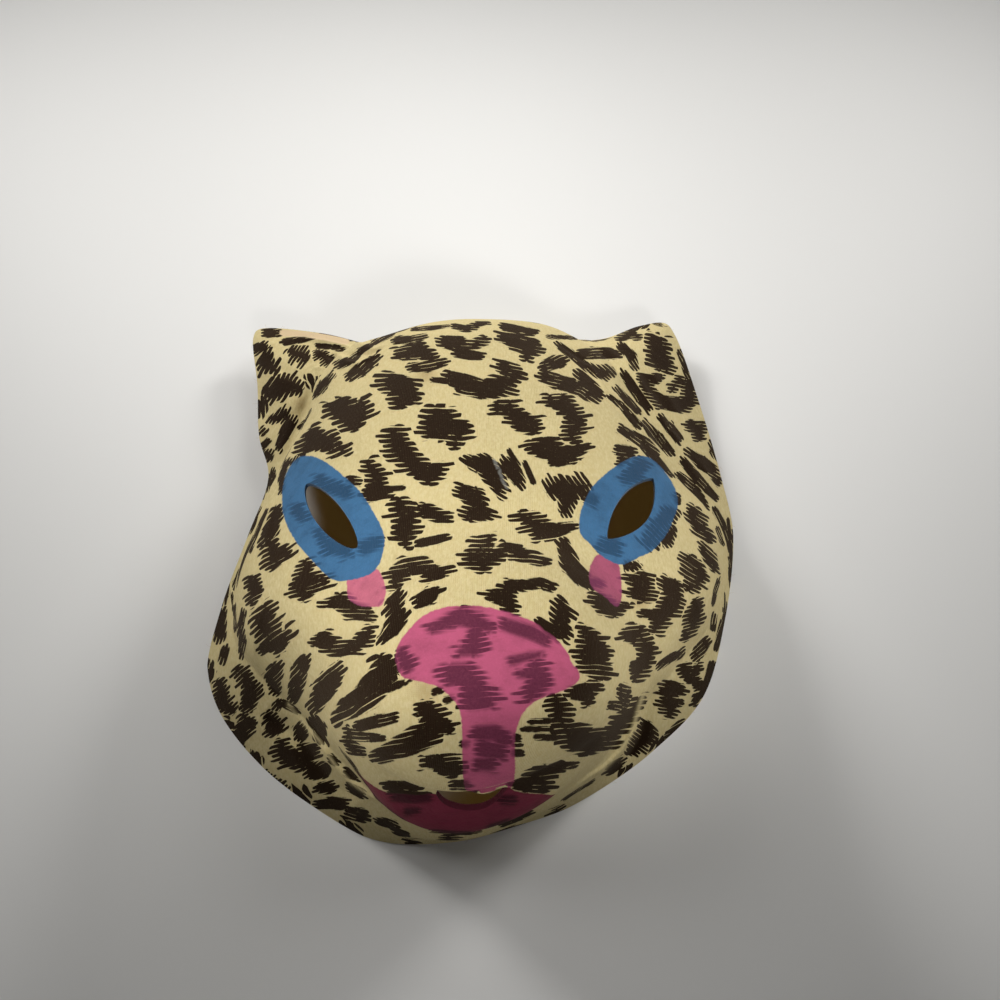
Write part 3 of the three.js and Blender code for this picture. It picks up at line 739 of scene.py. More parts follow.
def fold_share(path, width, x, y):
    """Share of a fold's full height: 1 on its line, fading to its sides and its ends."""
    lengths = [math.dist(start, end) for start, end in zip(path[:-1], path[1:])]
    total = sum(lengths)
    run = 0.0
    share = np.zeros_like(x)
    for start, end, length in zip(path[:-1], path[1:], lengths):
        dx, dy = end[0] - start[0], end[1] - start[1]
        t = np.clip(((x - start[0]) * dx + (y - start[1]) * dy) / length**2, 0, 1)
        away = np.hypot(x - start[0] - t * dx, y - start[1] - t * dy)
        along = (run + t * length) / total
        taper = np.sqrt(np.clip(np.sin(math.pi * along), 0, 1))
        share = np.maximum(share, taper * np.exp(-((away / width) ** 2)))
        run += length
    return share


def dome_height(x, y, reach, angle, crease, rise):
    near_edge = smooth_step(DOME["near_edge"], 1, reach / crease)
    rounder = round_reach(angle)
    limit = rounder + (crease - rounder) * near_edge
    along = smooth_step(*DOME["fall"], y)
    crown = BROW_HEIGHT + (CROWN_HEIGHT - BROW_HEIGHT) * along
    crown = crown - DOME["side_fall"] * x * x - DOME["lean"] * x
    foot = BASE_HEIGHT + (rise - BASE_HEIGHT) * near_edge
    fullness = np.clip(1 - (reach / limit) ** DOME["shoulder"], 0, 1) ** DOME["fullness"]
    return foot + (crown - foot) * fullness


def muzzle_height(x, y, edge_share):
    across = np.abs(x - MUZZLE["x"]) / MUZZLE["half_width"]
    depth = np.where(y > MUZZLE["y"], MUZZLE["behind"], MUZZLE["before"])
    along = np.abs(y - MUZZLE["y"]) / depth
    out = (across ** MUZZLE["roundness"] + along ** MUZZLE["roundness"]) ** (1 / MUZZLE["roundness"])
    fullness = np.clip(1 - out ** MUZZLE["shoulder"], 0, 1) ** MUZZLE["fullness"]
    near_edge = np.clip(1 - edge_share ** MUZZLE["edge"], 0, 1) ** MUZZLE["edge_fullness"]
    fall = MUZZLE["fall"] * np.maximum(out - 1, 0)
    rise = (NOSE_HEIGHT - MUZZLE["base"]) * fullness * near_edge
    return MUZZLE["base"] + rise - fall + hill_height(HILLS, x, y)


def height(x, y, folds):
    """Height of the outer face over a place in the plan."""
    angle = np.arctan2(y, x)
    reach = np.hypot(x, y)
    rim, lift = line_at(RIM, angle)
    crease, rise = line_at(CREASE, angle)
    edge_share = reach / crease
    dome = dome_height(x, y, reach, angle, crease, rise)
    head = soft_max(dome, muzzle_height(x, y, edge_share), BLEND) - SINK
    body = head + hill_height(SOCKETS, x, y)
    power, root = WALL_TURN
    wall = np.clip(1 - edge_share**power, 0, 1) ** root
    outward = np.clip((reach - crease) / (rim - crease), 0, SKIRT_END)
    apron = rise + (lift - rise) * outward
    z = apron + np.maximum(body - apron, 0) * wall
    calm = smooth_step(0, FOLD_END, rim - reach)
    for path, width, up in folds:
        z = z + up * fold_share(path, width, x, y) * calm
    return z


def band(z, middle, half_height, depth):
    return depth * np.exp(-(((z - middle) / half_height) ** 2))


def tuck(x, y, z):
    """How far the front is pressed in under the pads and at the chin, and the lower lip out."""
    front = smooth_step(*TUCK["span"], y)
    side = np.exp(-(((x - TUCK["x"]) / TUCK["half_width"]) ** 4))
    chin_side = np.exp(-(np.abs((x - CHIN["x"]) / CHIN["half_width"]) ** 3))
    chin = CHIN["depth"] * smooth_step(*CHIN["span"], z) * chin_side
    return front * (side * (band(z, *GROOVE) - band(z, *LOWER_LIP)) + chin)


# What the camera sees

TILT = math.radians(CAMERA_TILT)
CAMERA = np.array(CAMERA_PLACE)
RIGHT = np.array([1.0, 0.0, 0.0])
UP = np.array([0.0, math.cos(TILT), math.sin(TILT)])
AHEAD = np.array([0.0, math.sin(TILT), -math.cos(TILT)])


def seen_at(points):
    """Where the camera sees points of the form, and how far ahead of it they are."""
    away = points - CAMERA
    depth = away @ AHEAD
    across = HALF_PICTURE + PIXELS_PER_UNIT * (away @ RIGHT) / depth
    down = HALF_PICTURE - PIXELS_PER_UNIT * (away @ UP) / depth
    return np.stack([across, down], -1), depth


def on_surface(places, folds):
    """The points of the outer face seen at some places, before and after the front is tucked."""
    places = np.array(places, float)
    ray = AHEAD + np.outer(places[:, 0] - HALF_PICTURE, RIGHT) / PIXELS_PER_UNIT
    ray = ray - np.outer(places[:, 1] - HALF_PICTURE, UP) / PIXELS_PER_UNIT
    levels = np.arange(TOP_LEVEL, 0, -LEVEL_STEP)
    steps = (levels[None, :] - CAMERA[2]) / ray[:, 2:3]
    x = CAMERA[0] + steps * ray[:, 0:1]
    y = CAMERA[1] + steps * ray[:, 1:2]
    z = np.broadcast_to(levels, x.shape)
    before = y.copy()
    for _ in range(TUCK_ROUNDS):
        before = y - tuck(x, before, z)
    above = height(x, before, folds) - z
    hit = np.where(np.any(above >= 0, axis=1), np.argmax(above >= 0, axis=1), np.argmax(above, axis=1))
    row = np.arange(len(places))
    pressed = np.stack([x[row, hit], before[row, hit], z[row, hit]], -1)
    seen = np.stack([x[row, hit], y[row, hit], z[row, hit]], -1)
    return pressed, seen


def all_folds():
    folds = list(FOLDS.values())
    for path, width, up in FINE_FOLDS.values():
        pressed, _ = on_surface(path, list(FOLDS.values()))
        folds.append(([(p[0], p[1]) for p in pressed], width, up))
    return folds


# The sheet


def ring_reaches(rings, folds, rays=720, steps=160):
    """Reach of each ring at each ray: evenly over the surface to the crease, then over the skirt."""
    angle = np.arange(rays) / rays * TURN
    crease, _ = line_at(CREASE, angle)
    rim, _ = line_at(RIM, angle)
    reach = crease[:, None] * np.linspace(0, 1, steps + 1)[None, :]
    z = height(reach * np.cos(angle)[:, None], reach * np.sin(angle)[:, None], folds)
    run = np.hypot(np.diff(reach, axis=1), np.diff(z, axis=1))
    length = np.concatenate([np.zeros((rays, 1)), np.cumsum(run, axis=1)], axis=1)
    table = np.empty((rays, rings["dome"] + rings["skirt"] + 1))
    for i in range(rays):
        wanted = length[i, -1] * np.arange(rings["dome"]) / rings["dome"]
        table[i, : rings["dome"]] = np.interp(wanted, length[i], reach[i])
    share = np.linspace(0, 1, rings["skirt"] + 1)[None, :]
    table[:, rings["dome"] :] = crease[:, None] + (rim - crease)[:, None] * share
    return angle, table


def face_points(x, y, depth, folds):
    """Points of the outer face, or at a depth under it."""
    step = SLOPE_STEP
    slope_x = (height(x + step, y, folds) - height(x - step, y, folds)) / (2 * step)
    slope_y = (height(x, y + step, folds) - height(x, y - step, folds)) / (2 * step)
    z = height(x, y, folds)
    long = np.sqrt(slope_x**2 + slope_y**2 + 1)
    return np.stack([x + depth * slope_x / long, y + depth * slope_y / long, z - depth / long], -1)


def ringed_face(rings, depth, folds):
    """All points of one face, and the first number and count of each ring."""
    angles, table = ring_reaches(rings, folds)
    entries = [(0, 1)]
    xs = [np.zeros(1)]
    ys = [np.zeros(1)]
    first = 1
    for ring in range(1, rings["dome"] + rings["skirt"] + 1):
        count = SECTORS * min(ring, rings["widest"])
        angle = np.arange(count) / count * TURN
        reach = np.interp(angle, angles, table[:, ring], period=TURN)
        if ring == rings["dome"] + rings["skirt"]:
            reach, _ = line_at(RIM, angle)
        xs.append(reach * np.cos(angle))
        ys.append(reach * np.sin(angle))
        entries.append((first, count))
        first += count
    return face_points(np.concatenate(xs), np.concatenate(ys), depth, folds), entries


def stitch(inner, outer):
    """Triangles between two rings of points, each a first number and a count."""
    inner_first, inner_count = inner
    outer_first, outer_count = outer
    inner_steps = inner_count if inner_count > 1 else 0
    triangles = []
    i = j = 0
    while i < inner_steps or j < outer_count:
        here = inner_first + i % inner_count
        there = outer_first + j % outer_count
        if j < outer_count and (i >= inner_steps or (j + 1) * inner_steps <= (i + 1) * outer_count):
            j += 1
            triangles.append((here, there, outer_first + j % outer_count))
        else:
            i += 1
            triangles.append((here, there, inner_first + i % inner_count))
    return triangles


def pressed_sheet(folds):
    """The sheet as one closed shell: points, triangles and the material of each triangle."""
    top, top_rings = ringed_face(OUTER_RINGS, 0, folds)
    under, under_rings = ringed_face(INNER_RINGS, WALL, folds)
    under_rings = [(first + len(top), count) for first, count in under_rings]
    triangles = [t for a, b in zip(top_rings[:-1], top_rings[1:]) for t in stitch(a, b)]
    looks = [PRINTED] * len(triangles)
    turned = [(a, c, b) for r, s in zip(under_rings[:-1], under_rings[1:]) for a, b, c in stitch(r, s)]
    triangles += turned
    looks += [BACKING] * len(turned)
    rim = [(a, c, b) for a, b, c in stitch(under_rings[-1], top_rings[-1])]
    triangles += rim
    looks += [CUT_EDGE] * len(rim)
    return np.concatenate([top, under]), triangles, looks


def mesh_object(name, points, faces, looks=None):
    mesh = bpy.data.meshes.new(name)
    mesh.from_pydata([tuple(p) for p in points], [], faces)
    if looks is not None:
        mesh.polygons.foreach_set("material_index", looks)
    mesh.update()
    piece = bpy.data.objects.new(name, mesh)
    bpy.context.scene.collection.objects.link(piece)
    return piece


def prism(name, outline, place):
    """A closed prism between two copies of an outline, put in their places by a function."""
    count = len(outline)
    points = [place(x, y, end) for end in (0, 1) for x, y in outline]
    faces = [tuple(range(count - 1, -1, -1)), tuple(range(count, 2 * count))]
    faces += [(i, (i + 1) % count, (i + 1) % count + count, i + count) for i in range(count)]
    piece = mesh_object(name, points, faces, [CUT_EDGE] * len(faces))
    work = bmesh.new()
    work.from_mesh(piece.data)
    bmesh.ops.recalc_face_normals(work, faces=work.faces)
    bmesh.ops.triangulate(work, faces=work.faces)
    work.to_mesh(piece.data)
    work.free()
    return piece


def eye_outline(start, end, left, right, roundness):
    """Two bulging sides from corner to corner."""
    dx, dy = end[0] - start[0], end[1] - start[1]
    length = math.hypot(dx, dy)
    outline = []
    for bulge, order in ((left, range(EYE_STEPS)), (-right, range(EYE_STEPS, 0, -1))):
        for i in order:
            t = (1 - math.cos(math.pi * i / EYE_STEPS)) / 2
            away = bulge * math.sin(math.pi * t) ** roundness if 0 < t < 1 else 0
            x = start[0] + t * dx - away * dy / length
            y = start[1] + t * dy + away * dx / length
            outline.append((x, y))
    return outline


def cutters():
    tools = []
    for name, eye in EYES.items():
        tools.append(prism(f"{name} cutter", eye_outline(*eye), lambda x, y, end: (x, y, EYE_CUT[end])))
    mouth = [tuple(p[:2]) for p in smooth_loop([(x, z, 0) for x, z in MOUTH], 6)]
    tools.append(prism("mouth cutter", mouth, lambda x, z, end: (x, MOUTH_CUT[end], z)))
    low, high = -TABLE_HALF, TABLE_HALF
    square = [(low, low), (high, low), (high, high), (low, high)]
    tools.append(prism("table cutter", square, lambda x, y, end: (x, y, TABLE_CUT[end])))
    return tools


def add_empty_slots(mesh):
    for _ in (PRINTED, BACKING, CUT_EDGE):
        mesh.materials.append(None)


def cut_sheet(folds):
    """The sheet with its eye holes and mouth cut and its rim levelled to the table, not yet tucked."""
    sheet = mesh_object("mask_cloth", *pressed_sheet(folds))
    add_empty_slots(sheet.data)
    tools = cutters()
    for tool in tools:
        add_empty_slots(tool.data)
        cut = sheet.modifiers.new(tool.name, "BOOLEAN")
        cut.operation = "DIFFERENCE"
        cut.solver = "MANIFOLD"
        cut.material_mode = "INDEX"
        cut.object = tool
    graph = bpy.context.evaluated_depsgraph_get()
    mesh = bpy.data.meshes.new_from_object(sheet.evaluated_get(graph))
    sheet.modifiers.clear()
    sheet.data = mesh
    for tool in tools:
        bpy.data.objects.remove(tool)
    return sheet


def tidy_mesh(mesh):
    """Merges points that a cut left on top of each other and marks the cut edges as sharp."""
    work = bmesh.new()
    work.from_mesh(mesh)
    bmesh.ops.remove_doubles(work, verts=work.verts, dist=MERGE_DISTANCE)
    bmesh.ops.triangulate(work, faces=work.faces)
    for edge in work.edges:
        faces = edge.link_faces
        edge.smooth = len(faces) == 2 and faces[0].material_index == faces[1].material_index
    for face in work.faces:
        face.smooth = True
    work.to_mesh(mesh)
    work.free()


def mesh_points(mesh):
    points = np.empty(len(mesh.vertices) * 3)
    mesh.vertices.foreach_get("co", points)
    return points.reshape(-1, 3)


def mesh_normals(mesh):
    normals = np.empty(len(mesh.vertices) * 3)
    mesh.vertex_normals.foreach_get("vector", normals)
    return normals.reshape(-1, 3)


def move_points(mesh, points):
    mesh.vertices.foreach_set("co", points.reshape(-1))
    mesh.update()


def outer_points(mesh):
    """Which points belong to the printed face."""
    outer = np.zeros(len(mesh.vertices), bool)
    for face in mesh.polygons:
        if face.material_index == PRINTED:
            outer[list(face.vertices)] = True
    return outer


def add_values(mesh, name, values):
    layer = mesh.attributes.new(name, "FLOAT", "POINT")
    layer.data.foreach_set("value", np.asarray(values, np.float32))


# The print and the paint, as values on the mesh's points


class Face:
    """The printed face's points as the form and the camera know them."""

    def __init__(self, mesh, points, pressed, folds):
        self.folds = folds
        self.all_points = points
        self.used = np.nonzero(outer_points(mesh))[0]
        self.points = points[self.used]
        self.pressed = pressed[self.used]
        self.normals = mesh_normals(mesh)[self.used]
        self.seen, self.depth = seen_at(self.points)
        to_camera = CAMERA - self.points
        to_camera /= np.linalg.norm(to_camera, axis=1)[:, None]
        self.facing = np.sum(self.normals * to_camera, axis=1)
        self.tree = KDTree(len(self.points))
        for i, point in enumerate(self.points):
            self.tree.insert(point, i)
        self.tree.balance()

    def nearest(self, point):
        return self.tree.find(point)[1]

    def spread(self, values, fill):
        """Values on the printed face as values on the whole mesh."""
        full = np.full(len(self.all_points), float(fill))
        full[self.used] = values
        return full


def blot_values(flat, heights, nodes, radii, stroke):
    """For points laid flat: depth inside a blot, and how its nearest side faces along the stroke."""
    best = np.full(len(flat), -np.inf)
    side = np.zeros(len(flat))
    last = max(1, len(nodes) - 1)
    for i in range(last):
        start = nodes[i]
        end = nodes[min(i + 1, len(nodes) - 1)]
        way = end - start
        long = max(way @ way, TINY)
        t = np.clip((flat - start) @ way / long, 0, 1)
        away = flat - start - t[:, None] * way
        distance = np.linalg.norm(away, axis=1)
        radius = radii[i] + (radii[min(i + 1, len(radii) - 1)] - radii[i]) * t
        depth = radius - np.hypot(distance, HEIGHT_WEIGHT * heights[:, i])
        better = depth > best
        best = np.where(better, depth, best)
        side = np.where(better, (away @ stroke) / np.maximum(distance, SIDES_BLEND), side)
    return best, side


class SeenBlot:
    """A blot drawn as the camera sees it. On steep cloth its length up the slope is held back."""

    def __init__(self, face, angle, nodes):
        self.face = face
        self.places = np.array([node[:2] for node in nodes], float)
        _, self.centres = on_surface(self.places, face.folds)
        self.numbers = [face.nearest(point) for point in self.centres]
        self.scale = face.depth[self.numbers[0]] / PIXELS_PER_UNIT
        self.radii = [node[2] * self.scale for node in nodes]
        normal = face.normals[self.numbers].mean(axis=0)
        normal /= np.linalg.norm(normal)
        self.slope = np.array([normal @ RIGHT, normal @ UP])
        self.slope /= max(np.linalg.norm(self.slope), TINY)
        facing = abs(face.facing[self.numbers].mean())
        self.grow = max(1.0, STRETCH_LIMIT / max(facing, STEEPEST)) - 1
        self.stroke = np.array([math.cos(math.radians(angle)), math.sin(math.radians(angle))])
        self.thin = min(1.0, (max(self.radii) / FULL_BLOT) ** SHORTENING)
        self.fine = min(1.0, max(FINEST, max(self.radii) / FULL_BLOT))

    def reached(self):
        """The points that it can reach."""
        middle = self.centres.mean(axis=0)
        span = np.linalg.norm(self.centres - middle, axis=1).max() + max(self.radii) + BLOT_MARGIN
        close = np.linalg.norm(self.face.points - middle, axis=1) < span
        return np.nonzero(close & (self.face.facing > BEHIND))[0]

    def laid_flat(self, seen):
        flat = (seen - self.places[0]) * [self.scale, -self.scale]
        return flat + self.grow * np.outer(flat @ self.slope, self.slope)

    def values(self, numbers):
        face = self.face
        flat = self.laid_flat(face.seen[numbers])
        heights = [(face.points[numbers] - centre) @ face.normals[number]
                   for centre, number in zip(self.centres, self.numbers)]
        nodes = self.laid_flat(self.places)
        depth, side = blot_values(flat, np.stack(heights, -1), nodes, self.radii, self.stroke)
        cross = np.array([-self.stroke[1], self.stroke[0]])
        start = self.places[0] * [self.scale, -self.scale]
        across = (flat @ cross + start @ cross) / self.fine
        return depth, across, flat @ self.stroke + start @ self.stroke, side * self.thin


class HiddenBlot:
    """A blot of the same kind where the camera doesn't see the cloth."""

    def __init__(self, face, number, dice, offset):
        self.face = face
        self.point = face.points[number]
        self.normal = face.normals[number]
        self.level = np.cross([0, 0, 1], self.normal)
        self.level /= max(np.linalg.norm(self.level), TINY)
        self.rise = np.cross(self.normal, self.level)
        self.offset = offset
        shape = HIDDEN_SHAPE
        heading = dice.uniform(0, TURN)
        self.spots = [np.zeros(2)]
        self.radii = [dice.uniform(*shape["first"])]
        for _ in range(dice.randint(*shape["nodes"])):
            heading += dice.uniform(-shape["bend"], shape["bend"])
            way = np.array([math.cos(heading), math.sin(heading)])
            self.spots.append(self.spots[-1] + dice.uniform(*shape["step"]) * way)
            self.radii.append(dice.uniform(*shape["later"]))
        lean = math.radians(dice.uniform(-shape["lean"], shape["lean"]))
        self.stroke = np.array([math.cos(lean), math.sin(lean)])

    def reached(self):
        close = np.linalg.norm(self.face.points - self.point, axis=1) < HIDDEN["reach"]
        return np.nonzero(close & (self.face.normals @ self.normal > HIDDEN["same_side"]))[0]

    def values(self, numbers):
        away = self.face.points[numbers] - self.point
        flat = np.stack([away @ self.level, away @ self.rise], -1)
        heights = np.repeat((away @ self.normal)[:, None], len(self.spots), axis=1)
        depth, side = blot_values(flat, heights, self.spots, self.radii, self.stroke)
        out_of_view = FADE["facing"] - self.face.facing[numbers]
        depth = np.minimum(depth, FADE["slope"] * out_of_view + FADE["depth"])
        cross = np.array([-self.stroke[1], self.stroke[0]])
        return depth, flat @ cross + self.offset, flat @ self.stroke, side


class Nearest:
    """The two deepest blots at each point, and how deep the point is inside each."""

    def __init__(self, count):
        self.blots = []
        self.number = np.full((count, 2), -1)
        self.depth = np.full((count, 2), FAR)

    def take(self, blot):
        points = blot.reached()
        depth = blot.values(points)[0]
        own = len(self.blots)
        self.blots.append(blot)
        first = depth > self.depth[points, 0]
        ahead = points[first]
        self.number[ahead, 1] = self.number[ahead, 0]
        self.depth[ahead, 1] = self.depth[ahead, 0]
        self.number[ahead, 0] = own
        self.depth[ahead, 0] = depth[first]
        second = ~first & (depth > self.depth[points, 1])
        behind = points[second]
        self.number[behind, 1] = own
        self.depth[behind, 1] = depth[second]


def add_hidden_blots(face, nearest):
    dice = random.Random(HIDDEN["seed"])
    hidden = np.nonzero((face.facing < HIDDEN["facing"]) & (nearest.depth[:, 0] < HIDDEN["bare"]))[0]
    order = list(hidden)
    dice.shuffle(order)
    kept = []
    for number in order:
        point = face.points[number]
        if all(np.linalg.norm(point - other) > HIDDEN["spacing"] for other in kept):
            kept.append(point)
            nearest.take(HiddenBlot(face, number, dice, HIDDEN["offset"] * len(kept)))


def add_print_values(mesh, face, nearest):
    """The values of the two deepest blots of each triangle, kept on its own corners."""
    corners = np.empty(len(mesh.loops), np.int32)
    mesh.loops.foreach_get("vertex_index", corners)
    own_number = np.full(len(mesh.vertices), -1)
    own_number[face.used] = np.arange(len(face.used))
    triangles = own_number[corners.reshape(-1, 3)]
    printed = np.nonzero(np.all(triangles >= 0, axis=1))[0]
    triangles = triangles[printed]
    numbers = nearest.number[triangles].reshape(len(printed), -1)
    depths = nearest.depth[triangles].reshape(len(printed), -1)
    row = np.arange(len(printed))
    for layer in LAYERS:
        chosen = numbers[row, np.argmax(depths, axis=1)]
        values = np.zeros((len(BLOT_VALUES), len(mesh.loops)))
        values[0] = FAR
        for own, blot in enumerate(nearest.blots):
            taken = np.nonzero(chosen == own)[0]
            if len(taken):
                places = (3 * printed[taken][:, None] + np.arange(3)).reshape(-1)
                values[:, places] = blot.values(triangles[taken].reshape(-1))
        for name, column in zip(BLOT_VALUES, values):
            data = mesh.attributes.new(f"{layer}_{name}", "FLOAT", "CORNER")
            data.data.foreach_set("value", column.astype(np.float32))
        depths = np.where(numbers == chosen[:, None], FAR - 1, depths)


def inside_depth(outline, places):
    """Depth inside a closed outline, negative outside it."""
    line = smooth_loop([(x, y, 0) for x, y in outline], 5)[:, :2]
    start, end = line, np.roll(line, -1, axis=0)
    best = np.full(len(places), np.inf)
    inside = np.zeros(len(places), bool)
    for a, b in zip(start, end):
        way = b - a
        t = np.clip((places - a) @ way / max(way @ way, TINY), 0, 1)
        best = np.minimum(best, np.linalg.norm(places - a - t[:, None] * way, axis=1))
        crosses = (a[1] > places[:, 1]) != (b[1] > places[:, 1])
        if a[1] != b[1]:
            inside ^= crosses & (places[:, 0] < a[0] + (places[:, 1] - a[1]) * way[0] / way[1])
    return np.where(inside, best, -best)


def painted_as_seen(face, *outlines):
    """Depth in millimetres inside the nearest of some outlines given as seen."""
    depth = np.full(len(face.points), FAR)
    for outline in outlines:
        low = np.min(outline, axis=0) - PAINT_MARGIN
        high = np.max(outline, axis=0) + PAINT_MARGIN
        close = np.all((face.seen > low) & (face.seen < high), axis=1)
        near = np.nonzero(close & (face.facing > PAINT_FACING))[0]
        here = inside_depth(outline, face.seen[near]) * face.depth[near] / PIXELS_PER_UNIT
        depth[near] = np.maximum(depth[near], here)
    return depth


def painted_lips(face):
    near = np.nonzero((face.points[:, 1] < LIPS_FRONT) & (face.normals[:, 1] < LIPS_FACING))[0]
    depth = np.full(len(face.points), FAR)
    depth[near] = inside_depth(LIPS, face.pressed[near][:, [0, 2]])
    return depth


def line_strength(face, path, half_width):
    """1 on a line given as seen, fading over its half width in millimetres."""
    seen = np.array(path, float)
    best = np.full(len(face.points), np.inf)
    for a, b in zip(seen[:-1], seen[1:]):
        way = b - a
        t = np.clip((face.seen - a) @ way / (way @ way), 0, 1)
        best = np.minimum(best, np.linalg.norm(face.seen - a - t[:, None] * way, axis=1))
    away = best * face.depth / PIXELS_PER_UNIT
    return np.where(face.facing > 0, np.exp(-((away / half_width) ** 2)), 0)


# Brown patches: partly real stains and partly painted shade in a crease and beside the nose
def stain_and_shade_strength(face):
    strength = np.zeros(len(face.points))
    for place, radius in STAINS_AND_SHADE:
        away = np.linalg.norm(face.seen - np.array(place), axis=1) / radius
        strength = np.maximum(strength, np.where(face.facing > 0, np.exp(-(away**2)), 0))
    return strength


def cloth_lengths(pressed, folds):
    """Place of each point across and along the knit, measured over the cloth from the middle."""
    places = []
    reach = KNIT_GRID["reach"]
    steepest = KNIT_GRID["steepest"]
    ticks = np.linspace(-reach, reach, KNIT_GRID["ticks"])
    lines = np.linspace(-reach, reach, KNIT_GRID["lines"])
    middle = len(ticks) // 2
    for axis in (0, 1):
        along, other = np.meshgrid(ticks, lines)
        z = height(along, other, folds) if axis == 0 else height(other, along, folds)
        step = np.hypot(np.diff(along, axis=1), np.clip(np.diff(z, axis=1), -steepest, steepest))
        length = np.concatenate([np.zeros((len(lines), 1)), np.cumsum(step, axis=1)], axis=1)
        length -= length[:, middle : middle + 1]
        u = (pressed[:, axis] + reach) / (ticks[1] - ticks[0])
        v = (pressed[:, 1 - axis] + reach) / (lines[1] - lines[0])
        i = np.clip(u.astype(int), 0, len(ticks) - 2)
        j = np.clip(v.astype(int), 0, len(lines) - 2)
        fu, fv = u - i, v - j
        low = length[j, i] * (1 - fu) + length[j, i + 1] * fu
        high = length[j + 1, i] * (1 - fu) + length[j + 1, i + 1] * fu
        places.append(low * (1 - fv) + high * fv)
    return places


# The pale lines along the folds' ridges: painted highlights
def ridge_highlights(face):
    strength = np.zeros(len(face.points))
    for name, half_width in RIDGE_HIGHLIGHTS.items():
        strength = np.maximum(strength, line_strength(face, FINE_FOLDS[name][0], half_width))
    return strength


def add_face_values(mesh, points, pressed, folds):
    """The print, the paint and the marks as values on the mesh."""
    face = Face(mesh, points, pressed, folds)
    nearest = Nearest(len(face.points))
    for angle, *nodes in PRINT:
        nearest.take(SeenBlot(face, angle, nodes))
    add_hidden_blots(face, nearest)
    add_print_values(mesh, face, nearest)
    # Where the cloth turns from the camera its print is slit and lightened; the lightening is partly
    # painted sheen
    add_values(mesh, "streak", face.spread(smooth_step(*STRETCH_AND_SHEEN_FACING, face.facing), 0))
    add_values(mesh, "ring", face.spread(painted_as_seen(face, LEFT_RING, RIGHT_RING), FAR))
    add_values(mesh, "left_tear", face.spread(painted_as_seen(face, LEFT_TEAR), FAR))
    add_values(mesh, "right_tear", face.spread(painted_as_seen(face, RIGHT_TEAR), FAR))
    add_values(mesh, "nose", face.spread(painted_as_seen(face, NOSE), FAR))
    add_values(mesh, "lips", face.spread(painted_lips(face), FAR))
    add_values(mesh, "scratch", face.spread(line_strength(face, *SCRATCH), 0))
    add_values(mesh, "dot", face.spread(line_strength(face, *DARK_DOT), 0))
    add_values(mesh, "turned", face.spread(line_strength(face, *TURNED_STRIP), 0))
    add_values(mesh, "ridge", face.spread(ridge_highlights(face), 0))
    add_values(mesh, "stain", face.spread(stain_and_shade_strength(face), 0))
    high = points[:, 2] > LOWEST_HOLE
    in_front = points[:, 1] < MOUTH_FRONT
    add_values(mesh, "eye_edge", high & ~in_front)
    add_values(mesh, "mouth_edge", high & in_front)


# Materials


class Value:
    """A node's output that Python's operators work on; each one adds a Math node."""

    def __init__(self, maker, socket):
        self.maker = maker
        self.socket = socket

    def math(self, operation, *others):
        inputs = {i: value for i, value in enumerate((self, *others))}
        return self.maker.node("ShaderNodeMath", {"operation": operation}, inputs)

    def __add__(self, other):
        return self.math("ADD", other)

    def __sub__(self, other):
        return self.math("SUBTRACT", other)

    def __mul__(self, other):
        return self.math("MULTIPLY", other)

    def __truediv__(self, other):
        return self.math("DIVIDE", other)

    def __pow__(self, other):
        return self.math("POWER", other)

    def __abs__(self):
        return self.math("ABSOLUTE")

    __radd__ = __add__
    __rmul__ = __mul__

    def __rsub__(self, other):
        return self.maker.node("ShaderNodeMath", {"operation": "SUBTRACT"}, {0: other, 1: self})

    def other(self, name):
        """Another output of the same node."""
        return Value(self.maker, self.socket.node.outputs[name])

    def floor(self):
        return self.math("FLOOR")

    def fraction(self):
        return self.math("FRACT")

    def sine(self):
        return self.math("SINE")

    def sign(self):
        return self.math("SIGN")

    def least(self, other):
        return self.math("MINIMUM", other)

    def most(self, other):
        return self.math("MAXIMUM", other)

    def step(self, low, high):
        """0 below one value and 1 above another, with a smooth change between."""
        ends = {"Value": self, "From Min": low, "From Max": high, "To Min": 0.0, "To Max": 1.0}
        return self.maker.node("ShaderNodeMapRange", {"interpolation_type": "SMOOTHSTEP"}, ends)


